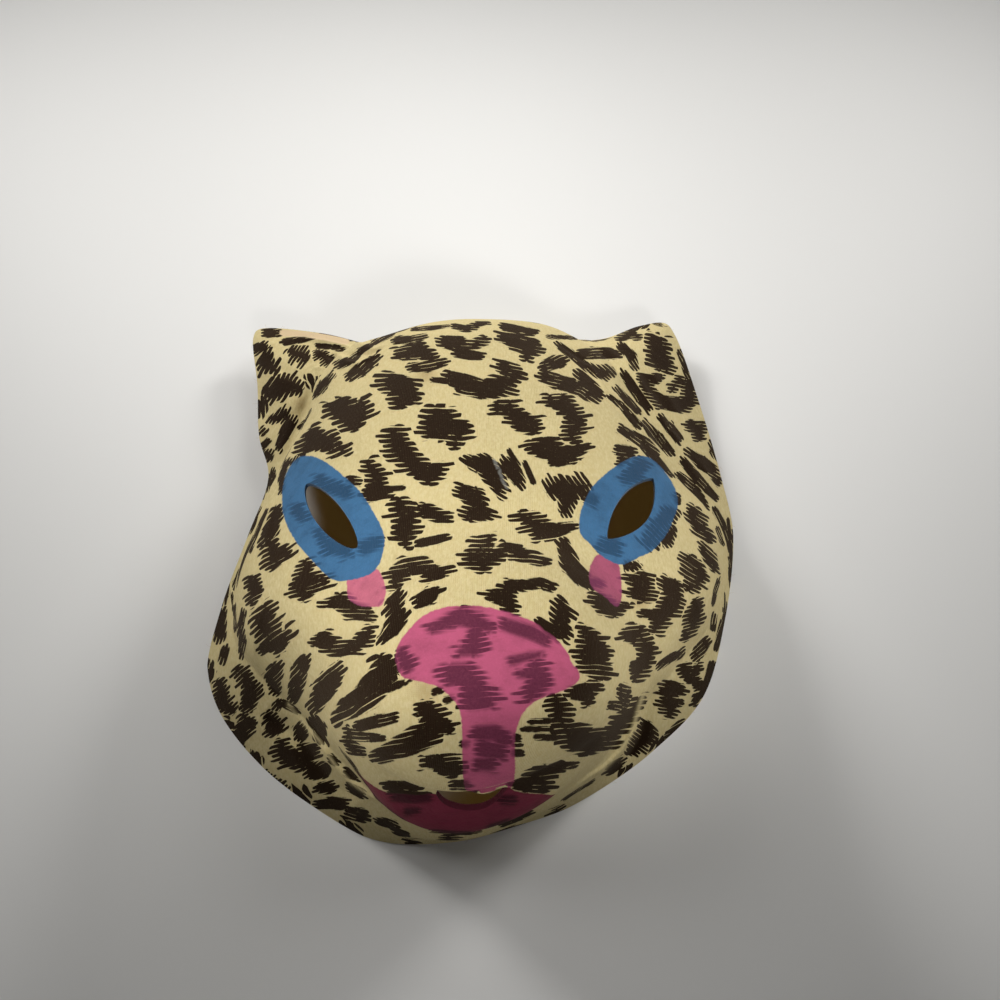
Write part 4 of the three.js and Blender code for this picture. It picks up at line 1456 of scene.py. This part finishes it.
class Maker:
    """Adds nodes to one tree."""

    def __init__(self, tree):
        self.tree = tree
        self.tree.nodes.clear()

    def node(self, kind, settings=None, inputs=None, output=0):
        """A node of a type, with its settings first and then the values or links of its sockets."""
        node = self.tree.nodes.new(kind)
        for name, value in (settings or {}).items():
            if name == "stops":
                self.fill_ramp(node.color_ramp, value)
            else:
                setattr(node, name, value)
        for name, value in (inputs or {}).items():
            if isinstance(value, Value):
                self.tree.links.new(value.socket, node.inputs[name])
            else:
                node.inputs[name].default_value = value
        return Value(self, node.outputs[output]) if len(node.outputs) else node

    def fill_ramp(self, ramp, stops):
        while len(ramp.elements) < len(stops):
            ramp.elements.new(1.0)
        for element, (place, colour) in zip(ramp.elements, stops):
            element.position = place
            element.color = colour

    def attribute(self, name):
        return self.node("ShaderNodeAttribute", {"attribute_name": name}, output="Fac")

    def place(self):
        return self.node("ShaderNodeTexCoord", output="Object")

    def drawn_out(self, vector, name):
        inputs = {0: vector, 1: DRAWN_OUT[name]}
        return self.node("ShaderNodeVectorMath", {"operation": "MULTIPLY"}, inputs)

    def vector(self, x, y, z=0.0):
        return self.node("ShaderNodeCombineXYZ", None, {0: x, 1: y, 2: z})

    def noise(self, vector, size, detail=2.0, roughness=0.5):
        """Noise from 0 to 1 with patches about as long as size, in metres."""
        inputs = {"Vector": vector, "Scale": 1 / size, "Detail": detail, "Roughness": roughness}
        return self.node("ShaderNodeTexNoise", None, inputs)

    def random(self, value):
        return self.node("ShaderNodeTexWhiteNoise", {"noise_dimensions": "1D"}, {"W": value})

    def mix(self, share, first, second):
        """A colour between two colours."""
        inputs = {0: share, 6: first, 7: second}
        return self.node("ShaderNodeMix", {"data_type": "RGBA"}, inputs, 2)

    def tones(self, share, colour, name):
        """A colour between the two ends of a named range of tones."""
        first, second = TONES[name]
        return self.mix(share, shade(colour, first), shade(colour, second))

    def bump(self, heights, distance, strength):
        inputs = {"Height": heights, "Distance": distance, "Strength": strength}
        return self.node("ShaderNodeBump", None, inputs)

    def surface(self, inputs):
        shader = self.node("ShaderNodeBsdfPrincipled", None, inputs)
        self.node("ShaderNodeOutputMaterial", None, {"Surface": shader})


def new_material(name):
    material = bpy.data.materials.new(name)
    material.use_nodes = True
    return material, Maker(material.node_tree)


def shade(colour, amount):
    """A colour made lighter or darker by one amount."""
    return (*(min(1.0, c * amount) for c in colour[:3]), 1.0)


def knit_relief(m, sizes):
    """The knit's fine ribs and loops, as a height from 0 to 1."""
    across = m.attribute("knit_across")
    along = m.attribute("knit_along")
    pitch = sizes.rib_pitch / MM
    wander = m.noise(m.vector(across * MM, along * MM), PATTERN["knit wander"]) * RELIEF["wander"]
    rib = ((across / pitch + wander) * TURN).sine() * 0.5 + 0.5
    loop = ((along / (pitch * RELIEF["loop length"]) + wander) * TURN).sine() * 0.5 + 0.5
    return rib * RELIEF["rib"] + loop * RELIEF["loop"]


def stroke_reach(m, sizes, across, along, side):
    """How far strokes reach out past the body of a blot, in millimetres, and their strips."""
    sway = m.noise(m.vector(across * MM, along * MM), PATTERN["print sway"], 1.0) - 0.5
    strip = (across + sway * STROKE["sway"]) / (sizes.stroke_pitch / MM)
    middle = abs(strip.fraction() * 2 - 1)
    own = strip.floor() * OWN_STRIP["strip"] + side.sign() * OWN_STRIP["side"]
    long = m.random(own) ** STROKE["length_power"] * (sizes.stroke_length / MM)
    width = STROKE["narrowest"] + m.random(own + OWN_STRIP["width"]) * STROKE["widening"]
    gap = ((middle - width) / STROKE["gap_softness"]).most(0.0).least(1.0)
    cut_in = m.random(own + OWN_STRIP["gap"]) * (sizes.stroke_gap / MM)
    reach = long - gap * (long + cut_in) - middle * middle * STROKE["rounding"]
    return abs(side) ** STROKE["side_power"] * reach, middle, strip


def layer_edge(m, sizes, layer, other):
    """How far inside one layer's blot a point is, in millimetres, with its ragged strokes."""
    ink, across, along, side = (m.attribute(f"{layer}_{name}") for name in BLOT_VALUES)
    reach, middle, strip = stroke_reach(m, sizes, across, along, side)
    own = (ink - m.attribute(f"{other}_ink")).step(*SHOWS["own strokes"])
    places = m.vector(strip.floor() * OWN_STRIP["split"], along * SLIT["along"])
    split = m.noise(places, 1.0, 1.0).step(*SHOWS["slit runs"])
    width = SLIT["least"] + m.attribute("streak") * SLIT["more"]
    slit = middle.step(*SHOWS["slit sides"]) * split * width
    return ink + reach * own - slit * SLIT["depth"]


def print_edge(m, sizes):
    """How far inside the print a point is, in millimetres."""
    grain = (m.noise(m.place(), PATTERN["print grain"]) - 0.5) * GRAIN
    upper, lower = LAYERS
    edge = layer_edge(m, sizes, upper, lower).most(layer_edge(m, sizes, lower, upper))
    return edge + grain + sizes.spread / MM


def cloth_colour(m, colours):
    place = m.place()
    patches = m.noise(place, PATTERN["cloth patches"], 3.0)
    fibres = m.noise(m.drawn_out(place, "cloth fibres"), PATTERN["cloth fibres"], 3.0, 0.7)
    base = m.tones(patches.step(*SHOWS["cloth patches"]), colours.cloth, "cloth")
    return m.mix(fibres.step(*SHOWS["cloth fibres"]), base, colours.cloth_light)


class Brush:
    """Paint over the cloth: cloudy and grainy, and darker where the print shows through."""

    def __init__(self, m, inked):
        place = m.place()
        self.m = m
        self.ragged = (m.noise(place, PATTERN["paint edge"]) - 0.5) * RAGGED
        grain = m.noise(place, PATTERN["paint grain"], 2.0, 0.7)
        marks = m.noise(m.drawn_out(place, "paint marks"), PATTERN["paint marks"], 3.0, 0.65)
        clouds = m.noise(place, PATTERN["paint clouds"], 3.0)
        self.light = self.covered(grain, "paint grain")
        self.thick = self.covered(clouds, "paint clouds") + self.covered(marks, "paint marks")
        self.shown = inked * (COVER["print under paint"] + grain * COVER["print in grain"])

    @staticmethod
    def covered(pattern, name):
        return pattern.step(*SHOWS[name]) * COVER[name]

    def over(self, under, name, colour, dark):
        """The colour under it, with paint of one colour where the named outline is."""
        cover = (self.m.attribute(name) + self.ragged).step(*SHOWS["paint"])
        body = self.m.tones(self.thick, colour, "paint")
        body = self.m.mix(self.light, body, shade(colour, LIGHTNESS["paint grain"]))
        return self.m.mix(cover, under, self.m.mix(self.shown, body, dark))


def printed_cloth_material(sizes, colours):
    material, m = new_material("printed_cloth")
    place = m.place()
    edge = print_edge(m, sizes)
    inked = edge.step(*SHOWS["print"])
    worn = m.noise(place, PATTERN["print wear"], 2.0, 0.7).step(*SHOWS["wear"]) * COVER["wear"]
    # The print is lightened at random and where the cloth turns from the camera; the second is partly
    # painted sheen
    faded_and_sheen = m.noise(place, PATTERN["print fading"]) * COVER["print fading"]
    faded_and_sheen = faded_and_sheen + m.attribute("streak") * COVER["streak"]
    ink_colour = m.mix(faded_and_sheen, colours.ink, colours.ink_worn_and_sheen)
    ridge = m.attribute("ridge")
    cloth = cloth_colour(m, colours)
    # Brown patches over the cloth: partly real stains, partly painted shade in the left ear's crease and
    # beside the nose
    cloth = m.mix(m.attribute("stain") * COVER["stain"], cloth, colours.stain)
    # Along the folds' ridges the print is thinned to a pale line, a painted highlight
    colour = m.mix(inked * (1 - worn) * (1 - ridge * COVER["ridge"]), cloth, ink_colour)
    scratch = m.attribute("scratch").step(*SHOWS["scratch"])
    colour = m.mix(scratch * COVER["scratch"], colour, colours.scratch)
    turned = m.attribute("turned").step(*SHOWS["turned strip"])
    colour = m.mix(turned, colour, shade(colours.edge, LIGHTNESS["turned strip"]))
    brush = Brush(m, edge.step(*SHOWS["print under paint"]))
    colour = brush.over(colour, "nose", colours.nose, colours.nose_dark)
    # The lips' darker pink is partly painted shade, for the shaded front wall
    colour = brush.over(colour, "lips", colours.lips, colours.lips_dark)
    colour = brush.over(colour, "left_tear", colours.left_tear, colours.tear_dark)
    colour = brush.over(colour, "right_tear", colours.right_tear, colours.tear_dark)
    colour = brush.over(colour, "ring", colours.ring, colours.ring_dark)
    dot = m.attribute("dot").step(*SHOWS["dark dot"])
    colour = m.mix(dot * COVER["dark dot"], colour, colours.ink)
    nap = m.noise(m.drawn_out(place, "cloth nap"), PATTERN["cloth nap"], 3.0, 0.65)
    thick_paint = m.attribute("nose").most(m.attribute("lips")).step(*SHOWS["smooth paint"])
    bare = 1 - thick_paint * COVER["smooth paint"]
    dents = m.noise(place, PATTERN["cloth dents"]) * RELIEF["dents"]
    relief = knit_relief(m, sizes) * bare * RELIEF["knit"] + nap + dents
    roughness = 0.86 + nap * 0.1 - inked * 0.05
    m.surface({
        "Base Color": colour,
        "Roughness": roughness,
        "Normal": m.bump(relief, sizes.nap_depth, 0.75),
        "Specular IOR Level": 0.07,
        "Sheen Weight": 0.06,
        "Sheen Roughness": 0.45,
        "Sheen Tint": (1.0, 0.8, 0.55, 1.0),
    })
    return material


def backing_material(colours):
    """The stiff backing inside: tan cloth with a coarse weave, and a glow for daylight through it."""
    material, m = new_material("stiff_backing")
    place = m.place()
    across = m.attribute("knit_across")
    along = m.attribute("knit_along")
    per_millimetre = TURN / WEAVE_PITCH
    weave = ((across * per_millimetre).sine() * (along * per_millimetre).sine()) * 0.5 + 0.5
    patches = m.noise(place, PATTERN["backing patches"], 3.0)
    colour = m.tones(patches.step(*SHOWS["backing patches"]), colours.backing, "backing")
    colour = m.mix(weave * COVER["weave"], colour, shade(colours.backing, LIGHTNESS["weave"]))
    threads = m.noise(place, PATTERN["backing threads"])
    m.surface({
        "Base Color": colour,
        "Roughness": 0.8 + patches * 0.15,
        "Normal": m.bump(weave + threads, WEAVE_DEPTH, 0.6),
        "Specular IOR Level": 0.2,
        "Emission Color": colours.glow,
        "Emission Strength": 1.0,
    })
    return material


def cut_edge_material(colours):
    """The cut edge: cream at the outer rim, painted at the eye holes and the mouth."""
    material, m = new_material("cut_edge")
    fuzz = m.noise(m.place(), PATTERN["edge fuzz"], 3.0, 0.7)
    colour = m.tones(fuzz.step(*SHOWS["edge fuzz"]), colours.edge, "cut edge")
    # The mouth's edge takes the lips' pink, which is partly painted shade
    for name, paint in (("eye_edge", colours.ring), ("mouth_edge", colours.lips)):
        colour = m.mix(m.attribute(name), colour, shade(paint, LIGHTNESS["painted edge"]))
    m.surface({
        "Base Color": colour,
        "Roughness": 0.85 + fuzz * 0.1,
        "Normal": m.bump(fuzz, FUZZ_DEPTH, 0.9),
        "Specular IOR Level": 0.2,
        "Sheen Weight": 0.15,
    })
    return material


def fibre_material(colours):
    material, m = new_material("loose_fibre")
    tone = m.noise(m.place(), PATTERN["fibre tone"])
    m.surface({
        "Base Color": m.tones(tone, colours.edge, "fibre"),
        "Roughness": 0.8 + tone * 0.1,
        "Specular IOR Level": 0.2,
    })
    return material


def floor_material(colours):
    material, m = new_material("pale_floor")
    cloud = m.noise(m.place(), PATTERN["floor clouds"])
    m.surface({
        "Base Color": m.tones(cloud, colours.floor, "floor"),
        "Roughness": 0.55 + cloud * 0.05,
        "Specular IOR Level": 0.3,
    })
    return material


# Pieces


def place_like_solid(points):
    """Points in metres where the solid stands, and how far they were moved, in millimetres."""
    low, high = (np.array(corner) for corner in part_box(NODE))
    middle = (points.min(axis=0) + points.max(axis=0)) / 2
    shift = (low + high) / 2 / MM - middle
    shift[2] = 0.0
    return (points + shift) * MM, shift


def build_cloth(settings):
    folds = all_folds()
    piece = cut_sheet(folds)
    mesh = piece.data
    tidy_mesh(mesh)
    pressed = mesh_points(mesh)
    points = pressed.copy()
    points[:, 1] += tuck(pressed[:, 0], pressed[:, 1], pressed[:, 2])
    move_points(mesh, points)
    add_face_values(mesh, points, pressed, folds)
    knit_across, knit_along = cloth_lengths(pressed, folds)
    add_values(mesh, "knit_across", knit_across)
    add_values(mesh, "knit_along", knit_along)
    placed, shift = place_like_solid(points)
    settings.shift = shift
    move_points(mesh, placed)
    looks = np.empty(len(mesh.polygons), np.int32)
    mesh.polygons.foreach_get("material_index", looks)
    mesh.materials.clear()
    mesh.materials.append(printed_cloth_material(settings.sizes, settings.colours))
    mesh.materials.append(backing_material(settings.colours))
    mesh.materials.append(cut_edge_material(settings.colours))
    mesh.polygons.foreach_set("material_index", looks)
    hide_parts(NODE)
    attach(piece, "root")


def fibre_shape(m, thickness, length):
    """A bent hair for a length of 1."""
    bend = m.node("GeometryNodeCurvePrimitiveBezierSegment", {"mode": "POSITION"}, {
        "Resolution": 4,
        **FIBRE_BEND,
    })
    ring = m.node("GeometryNodeCurvePrimitiveCircle", {"mode": "RADIUS"}, {
        "Resolution": 3,
        "Radius": thickness / length,
    })
    return m.node("GeometryNodeCurveToMesh", None, {
        "Curve": bend,
        "Profile Curve": ring,
        "Fill Caps": True,
    })


def fibre_turn(m, rotation, seed):
    """The cut edge's own direction, leaned and turned at random."""
    lean = m.node("FunctionNodeRandomValue", {"data_type": "FLOAT_VECTOR"}, {
        0: tuple(-angle for angle in FIBRE_LEAN),
        1: FIBRE_LEAN,
        "Seed": seed,
    })
    return m.node("FunctionNodeRotateRotation", {"rotation_space": "LOCAL"}, {
        "Rotation": rotation,
        "Rotate By": m.node("FunctionNodeEulerToRotation", None, {0: lean}),
    })


def fibre_size(m, length, seed):
    share = m.node("FunctionNodeRandomValue", {"data_type": "FLOAT"}, {
        2: SHORTEST_FIBRE,
        3: 1.0,
        "Seed": seed,
    }, 1)
    size = share * length
    return m.vector(size, size, size)


def fibre_tree(material):
    """Loose fibres on a strip of cut edge: short bent hairs at scattered places."""
    tree = bpy.data.node_groups.new("loose fibres", "GeometryNodeTree")
    m = Maker(tree)
    for name, kind in FIBRE_INPUTS.items():
        tree.interface.new_socket(name, in_out="INPUT", socket_type=kind)
    tree.interface.new_socket("Geometry", in_out="OUTPUT", socket_type="NodeSocketGeometry")
    group = m.node("NodeGroupInput")
    given = {name: group.other(name) for name in FIBRE_INPUTS}
    points = m.node("GeometryNodeDistributePointsOnFaces", None, {
        "Mesh": given["Geometry"],
        "Density": given["Fibres per metre squared"],
        "Seed": given["Seed"],
    }, "Points")
    stood = m.node("GeometryNodeInstanceOnPoints", None, {
        "Points": points,
        "Instance": fibre_shape(m, given["Thickness"], given["Length"]),
        "Rotation": fibre_turn(m, points.other("Rotation"), given["Seed"]),
        "Scale": fibre_size(m, given["Length"], given["Seed"]),
    })
    real = m.node("GeometryNodeRealizeInstances", None, {"Geometry": stood})
    done = m.node("GeometryNodeSetMaterial", None, {"Geometry": real, "Material": material})
    m.node("NodeGroupOutput", None, {"Geometry": done})
    return tree


def edge_strip(cloth):
    """A copy of the cloth's outer cut edge alone."""
    mesh = cloth.data.copy()
    work = bmesh.new()
    work.from_mesh(mesh)
    unwanted = [face for face in work.faces if face.material_index != CUT_EDGE]
    bmesh.ops.delete(work, geom=unwanted, context="FACES")
    holes = [face for face in work.faces if face.calc_center_median().z > HIGHEST_RIM]
    bmesh.ops.delete(work, geom=holes, context="FACES")
    work.to_mesh(mesh)
    work.free()
    strip = bpy.data.objects.new("loose_fibres", mesh)
    bpy.context.scene.collection.objects.link(strip)
    return strip


def build_fibres(settings):
    cloth = bpy.data.objects["mask_cloth"]
    sizes = settings.sizes
    piece = edge_strip(cloth)
    material = fibre_material(settings.colours)
    tree = fibre_tree(material)
    hairs = piece.modifiers.new("fibres", "NODES")
    hairs.node_group = tree
    numbers = {
        "Fibres per metre squared": sizes.fibre_density,
        "Length": sizes.fibre_length,
        "Thickness": sizes.fibre_thickness,
        "Seed": sizes.fibre_seed,
    }
    for item in tree.interface.items_tree:
        if item.in_out == "INPUT" and item.name in numbers:
            hairs[item.identifier] = numbers[item.name]
    graph = bpy.context.evaluated_depsgraph_get()
    mesh = bpy.data.meshes.new_from_object(piece.evaluated_get(graph))
    if not mesh.polygons:
        raise RuntimeError("the cut edge grew no fibres")
    piece.modifiers.remove(hairs)
    piece.data = mesh
    mesh.materials.clear()
    mesh.materials.append(material)
    mesh.polygons.foreach_set("material_index", [0] * len(mesh.polygons))
    for point in mesh.vertices:
        point.co.z = max(point.co.z, CLEARANCE)
    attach(piece, "root")


# Stage


def build_floor(settings):
    half = FLOOR_HALF
    corners = [(-half, -half, 0), (half, -half, 0), (half, half, 0), (-half, half, 0)]
    floor = mesh_object("floor", corners, [(0, 1, 2, 3)])
    floor.data.materials.append(floor_material(settings.colours))


def soft_light(name, place, aim, size, power, spread):
    light = bpy.data.lights.new(name, "AREA")
    light.spread = math.radians(spread)
    light.shape = "DISK"
    light.size = size
    light.energy = power
    light.color = DAYLIGHT
    holder = bpy.data.objects.new(name, light)
    holder.location = place
    holder.rotation_euler = (Vector(aim) - Vector(place)).to_track_quat("-Z", "Y").to_euler()
    bpy.context.scene.collection.objects.link(holder)


def build_lights(settings):
    for name, (place, aim, size, spread, setting) in LIGHTS.items():
        soft_light(name, place, aim, size, getattr(settings.lights, setting), spread)
    world = bpy.data.worlds.new("room")
    world.use_nodes = True
    background = world.node_tree.nodes["Background"]
    background.inputs["Color"].default_value = ROOM_COLOUR
    background.inputs["Strength"].default_value = settings.lights.room
    bpy.context.scene.world = world
    bpy.context.scene.view_settings.view_transform = "Standard"


def build_camera(shift):
    camera = bpy.data.cameras.new("camera")
    camera.lens = LENS
    camera.sensor_width = SENSOR
    camera.clip_start = 0.01
    holder = bpy.data.objects.new("camera", camera)
    holder.location = [(place + move) * MM for place, move in zip(CAMERA_PLACE, shift)]
    holder.rotation_euler = (math.radians(CAMERA_TILT), 0, 0)
    bpy.context.scene.collection.objects.link(holder)
    bpy.context.scene.camera = holder


# Settings, operators and panel


def colour_setting(name, description, default):
    return bpy.props.FloatVectorProperty(
        name=name,
        description=description,
        default=(*default, 1.0),
        size=4,
        min=0,
        max=1,
        subtype="COLOR",
    )


def length_setting(name, description, default):
    return bpy.props.FloatProperty(
        name=name,
        description=description,
        default=default,
        min=0,
        precision=5,
        unit="LENGTH",
    )


def power_setting(name, description, default):
    return bpy.props.FloatProperty(
        name=name,
        description=description,
        default=default,
        min=0,
        precision=3,
        unit="POWER",
    )


class MaskSizes(bpy.types.PropertyGroup):
    rib_pitch: length_setting("Rib pitch", "Distance between the ribs of the knit", 0.00055)
    nap_depth: length_setting("Nap depth", "Height of the brushed nap", 0.0003)
    stroke_pitch: length_setting("Stroke pitch", "Distance between the strokes of the print", 0.0017)
    stroke_length: length_setting("Stroke length", "How far the longest strokes reach out", 0.0040)
    stroke_gap: length_setting("Stroke gap", "How deep the gaps between the strokes reach in", 0.0018)
    spread: length_setting("Spread", "How far the print has spread on every side", 0.0005)
    fibre_length: length_setting("Fibre length", "Length of the longest loose fibres", 0.0022)
    fibre_thickness: length_setting("Fibre thickness", "Radius of a loose fibre", 0.00003)
    fibre_density: bpy.props.FloatProperty(
        name="Fibre density",
        description="Loose fibres on a square metre of cut edge",
        default=260000,
        min=0,
    )
    fibre_seed: bpy.props.IntProperty(
        name="Fibre seed",
        description="Changes where the fibres are",
        default=5,
    )


class MaskColours(bpy.types.PropertyGroup):
    cloth: colour_setting("Cloth", "The cloth's cream ground", (0.522, 0.426, 0.208))
    cloth_light: colour_setting("Cloth highlights", "Lighter fibres in the ground", (0.6, 0.516, 0.285))
    ink: colour_setting("Print", "The print's dark brown", (0.0125, 0.0062, 0.0022))
    # The lighter print serves both thinner, worn print and painted sheen on print where the cloth turns
    # from the camera
    ink_worn_and_sheen: colour_setting("Worn print", "The print where it is thinner", (0.023, 0.0125, 0.0058))
    ring: colour_setting("Eye rings", "Blue paint round the eyes", (0.043, 0.126, 0.246))
    ring_dark: colour_setting("Dark eye rings", "The same over the print", (0.0165, 0.049, 0.099))
    nose: colour_setting("Nose", "Deep pink paint", (0.405, 0.0835, 0.158))
    nose_dark: colour_setting("Dark nose", "The same over the print", (0.047, 0.0085, 0.0225))
    # The lips' colour is partly painted shade: their pink is kept far darker than the nose's for the
    # shade on the front wall, which faces away from the lights
    lips: colour_setting("Lips", "Dark pink paint", (0.155, 0.021, 0.042))
    lips_dark: colour_setting("Dark lips", "The same over the print", (0.018, 0.003, 0.0075))
    left_tear: colour_setting("Left tear", "Light pink paint", (0.459, 0.123, 0.18))
    right_tear: colour_setting("Right tear", "Pink paint", (0.326, 0.078, 0.135))
    tear_dark: colour_setting("Dark tears", "The same over the print", (0.131, 0.0197, 0.0722))
    backing: colour_setting("Backing", "The stiff cloth inside", (0.24, 0.155, 0.055))
    glow: colour_setting("Glow", "Daylight that the cloth lets through", (0.035, 0.02, 0.004))
    edge: colour_setting("Cut edge", "The cut edge and its loose fibres", (0.472, 0.361, 0.223))
    # Brown for real stains and for painted shade in a crease and beside the nose
    stain: colour_setting("Stain", "Faint brown stains", (0.236, 0.144, 0.0525))
    scratch: colour_setting("Scratch", "A pale scratch on the forehead", (0.171, 0.171, 0.157))
    floor: colour_setting("Floor", "The plain floor", (0.72, 0.72, 0.71))


class StageLights(bpy.types.PropertyGroup):
    low_left: power_setting("Low left light", "Low light behind at the left", 0.55)
    low_right: power_setting("Low right light", "Low light behind at the right", 0.43)
    ceiling_left: power_setting("Left ceiling light", "High light behind at the left", 0.135)
    ceiling_right: power_setting("Right ceiling light", "High light behind at the right", 0.256)
    back: power_setting("Back light", "High light behind in the middle", 0.05)
    side: power_setting("Side light", "Light at the left", 0.11)
    front: power_setting("Front light", "Narrow light in front", 0.033)
    face: power_setting("Face light", "Narrow light on the face", 0.0195)
    right_face: power_setting("Right face light", "Narrow light on the right cheek", 0.009)
    room: bpy.props.FloatProperty(
        name="Room light",
        description="Strength of the pale room",
        default=0.012,
        min=0,
        precision=3,
    )


class MaskSettings(bpy.types.PropertyGroup):
    sizes: bpy.props.PointerProperty(type=MaskSizes)
    colours: bpy.props.PointerProperty(type=MaskColours)
    lights: bpy.props.PointerProperty(type=StageLights)
    shift: bpy.props.FloatVectorProperty(
        name="Shift",
        description="How far the form was moved to stand where the solid stands, in millimetres",
        default=(0.0, 0.0, 0.0),
        size=3,
        subtype="XYZ",
    )


class CHEETAH_OT_cloth(bpy.types.Operator):
    """Build the pressed and printed cloth with its eye holes and mouth"""

    bl_idname = "cheetah.cloth"
    bl_label = "Pressed cloth"

    def execute(self, context):
        build_cloth(context.scene.cheetah_mask)
        return {"FINISHED"}


class CHEETAH_OT_fibres(bpy.types.Operator):
    """Grow loose fibres on the outer cut edge"""

    bl_idname = "cheetah.fibres"
    bl_label = "Loose fibres"

    def execute(self, context):
        build_fibres(context.scene.cheetah_mask)
        return {"FINISHED"}


class CHEETAH_OT_stage(bpy.types.Operator):
    """Set up the floor, the soft lights and the camera"""

    bl_idname = "cheetah.stage"
    bl_label = "Stage"

    def execute(self, context):
        settings = context.scene.cheetah_mask
        build_floor(settings)
        build_lights(settings)
        build_camera(settings.shift)
        return {"FINISHED"}


class CHEETAH_PT_panel(bpy.types.Panel):
    """The mask's settings and its pieces"""

    bl_label = "Cheetah mask"
    bl_space_type = "VIEW_3D"
    bl_region_type = "UI"
    bl_category = "Mask"

    def draw(self, context):
        settings = context.scene.cheetah_mask
        for group in (settings.sizes, settings.colours, settings.lights):
            for name in group.bl_rna.properties.keys():
                if name not in {"rna_type", "name"}:
                    self.layout.prop(group, name)
        for operator in OPERATORS:
            self.layout.operator(operator.bl_idname)


OPERATORS = [CHEETAH_OT_cloth, CHEETAH_OT_fibres, CHEETAH_OT_stage]
CLASSES = [MaskSizes, MaskColours, StageLights, MaskSettings, *OPERATORS, CHEETAH_PT_panel]


def register():
    for item in CLASSES:
        bpy.utils.register_class(item)
    bpy.types.Scene.cheetah_mask = bpy.props.PointerProperty(type=MaskSettings)


def unregister():
    del bpy.types.Scene.cheetah_mask
    for item in reversed(CLASSES):
        bpy.utils.unregister_class(item)


def main():
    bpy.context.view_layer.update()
    register()
    bpy.ops.cheetah.cloth()
    bpy.ops.cheetah.fibres()
    bpy.ops.cheetah.stage()


if __name__ == "__main__":
    main()
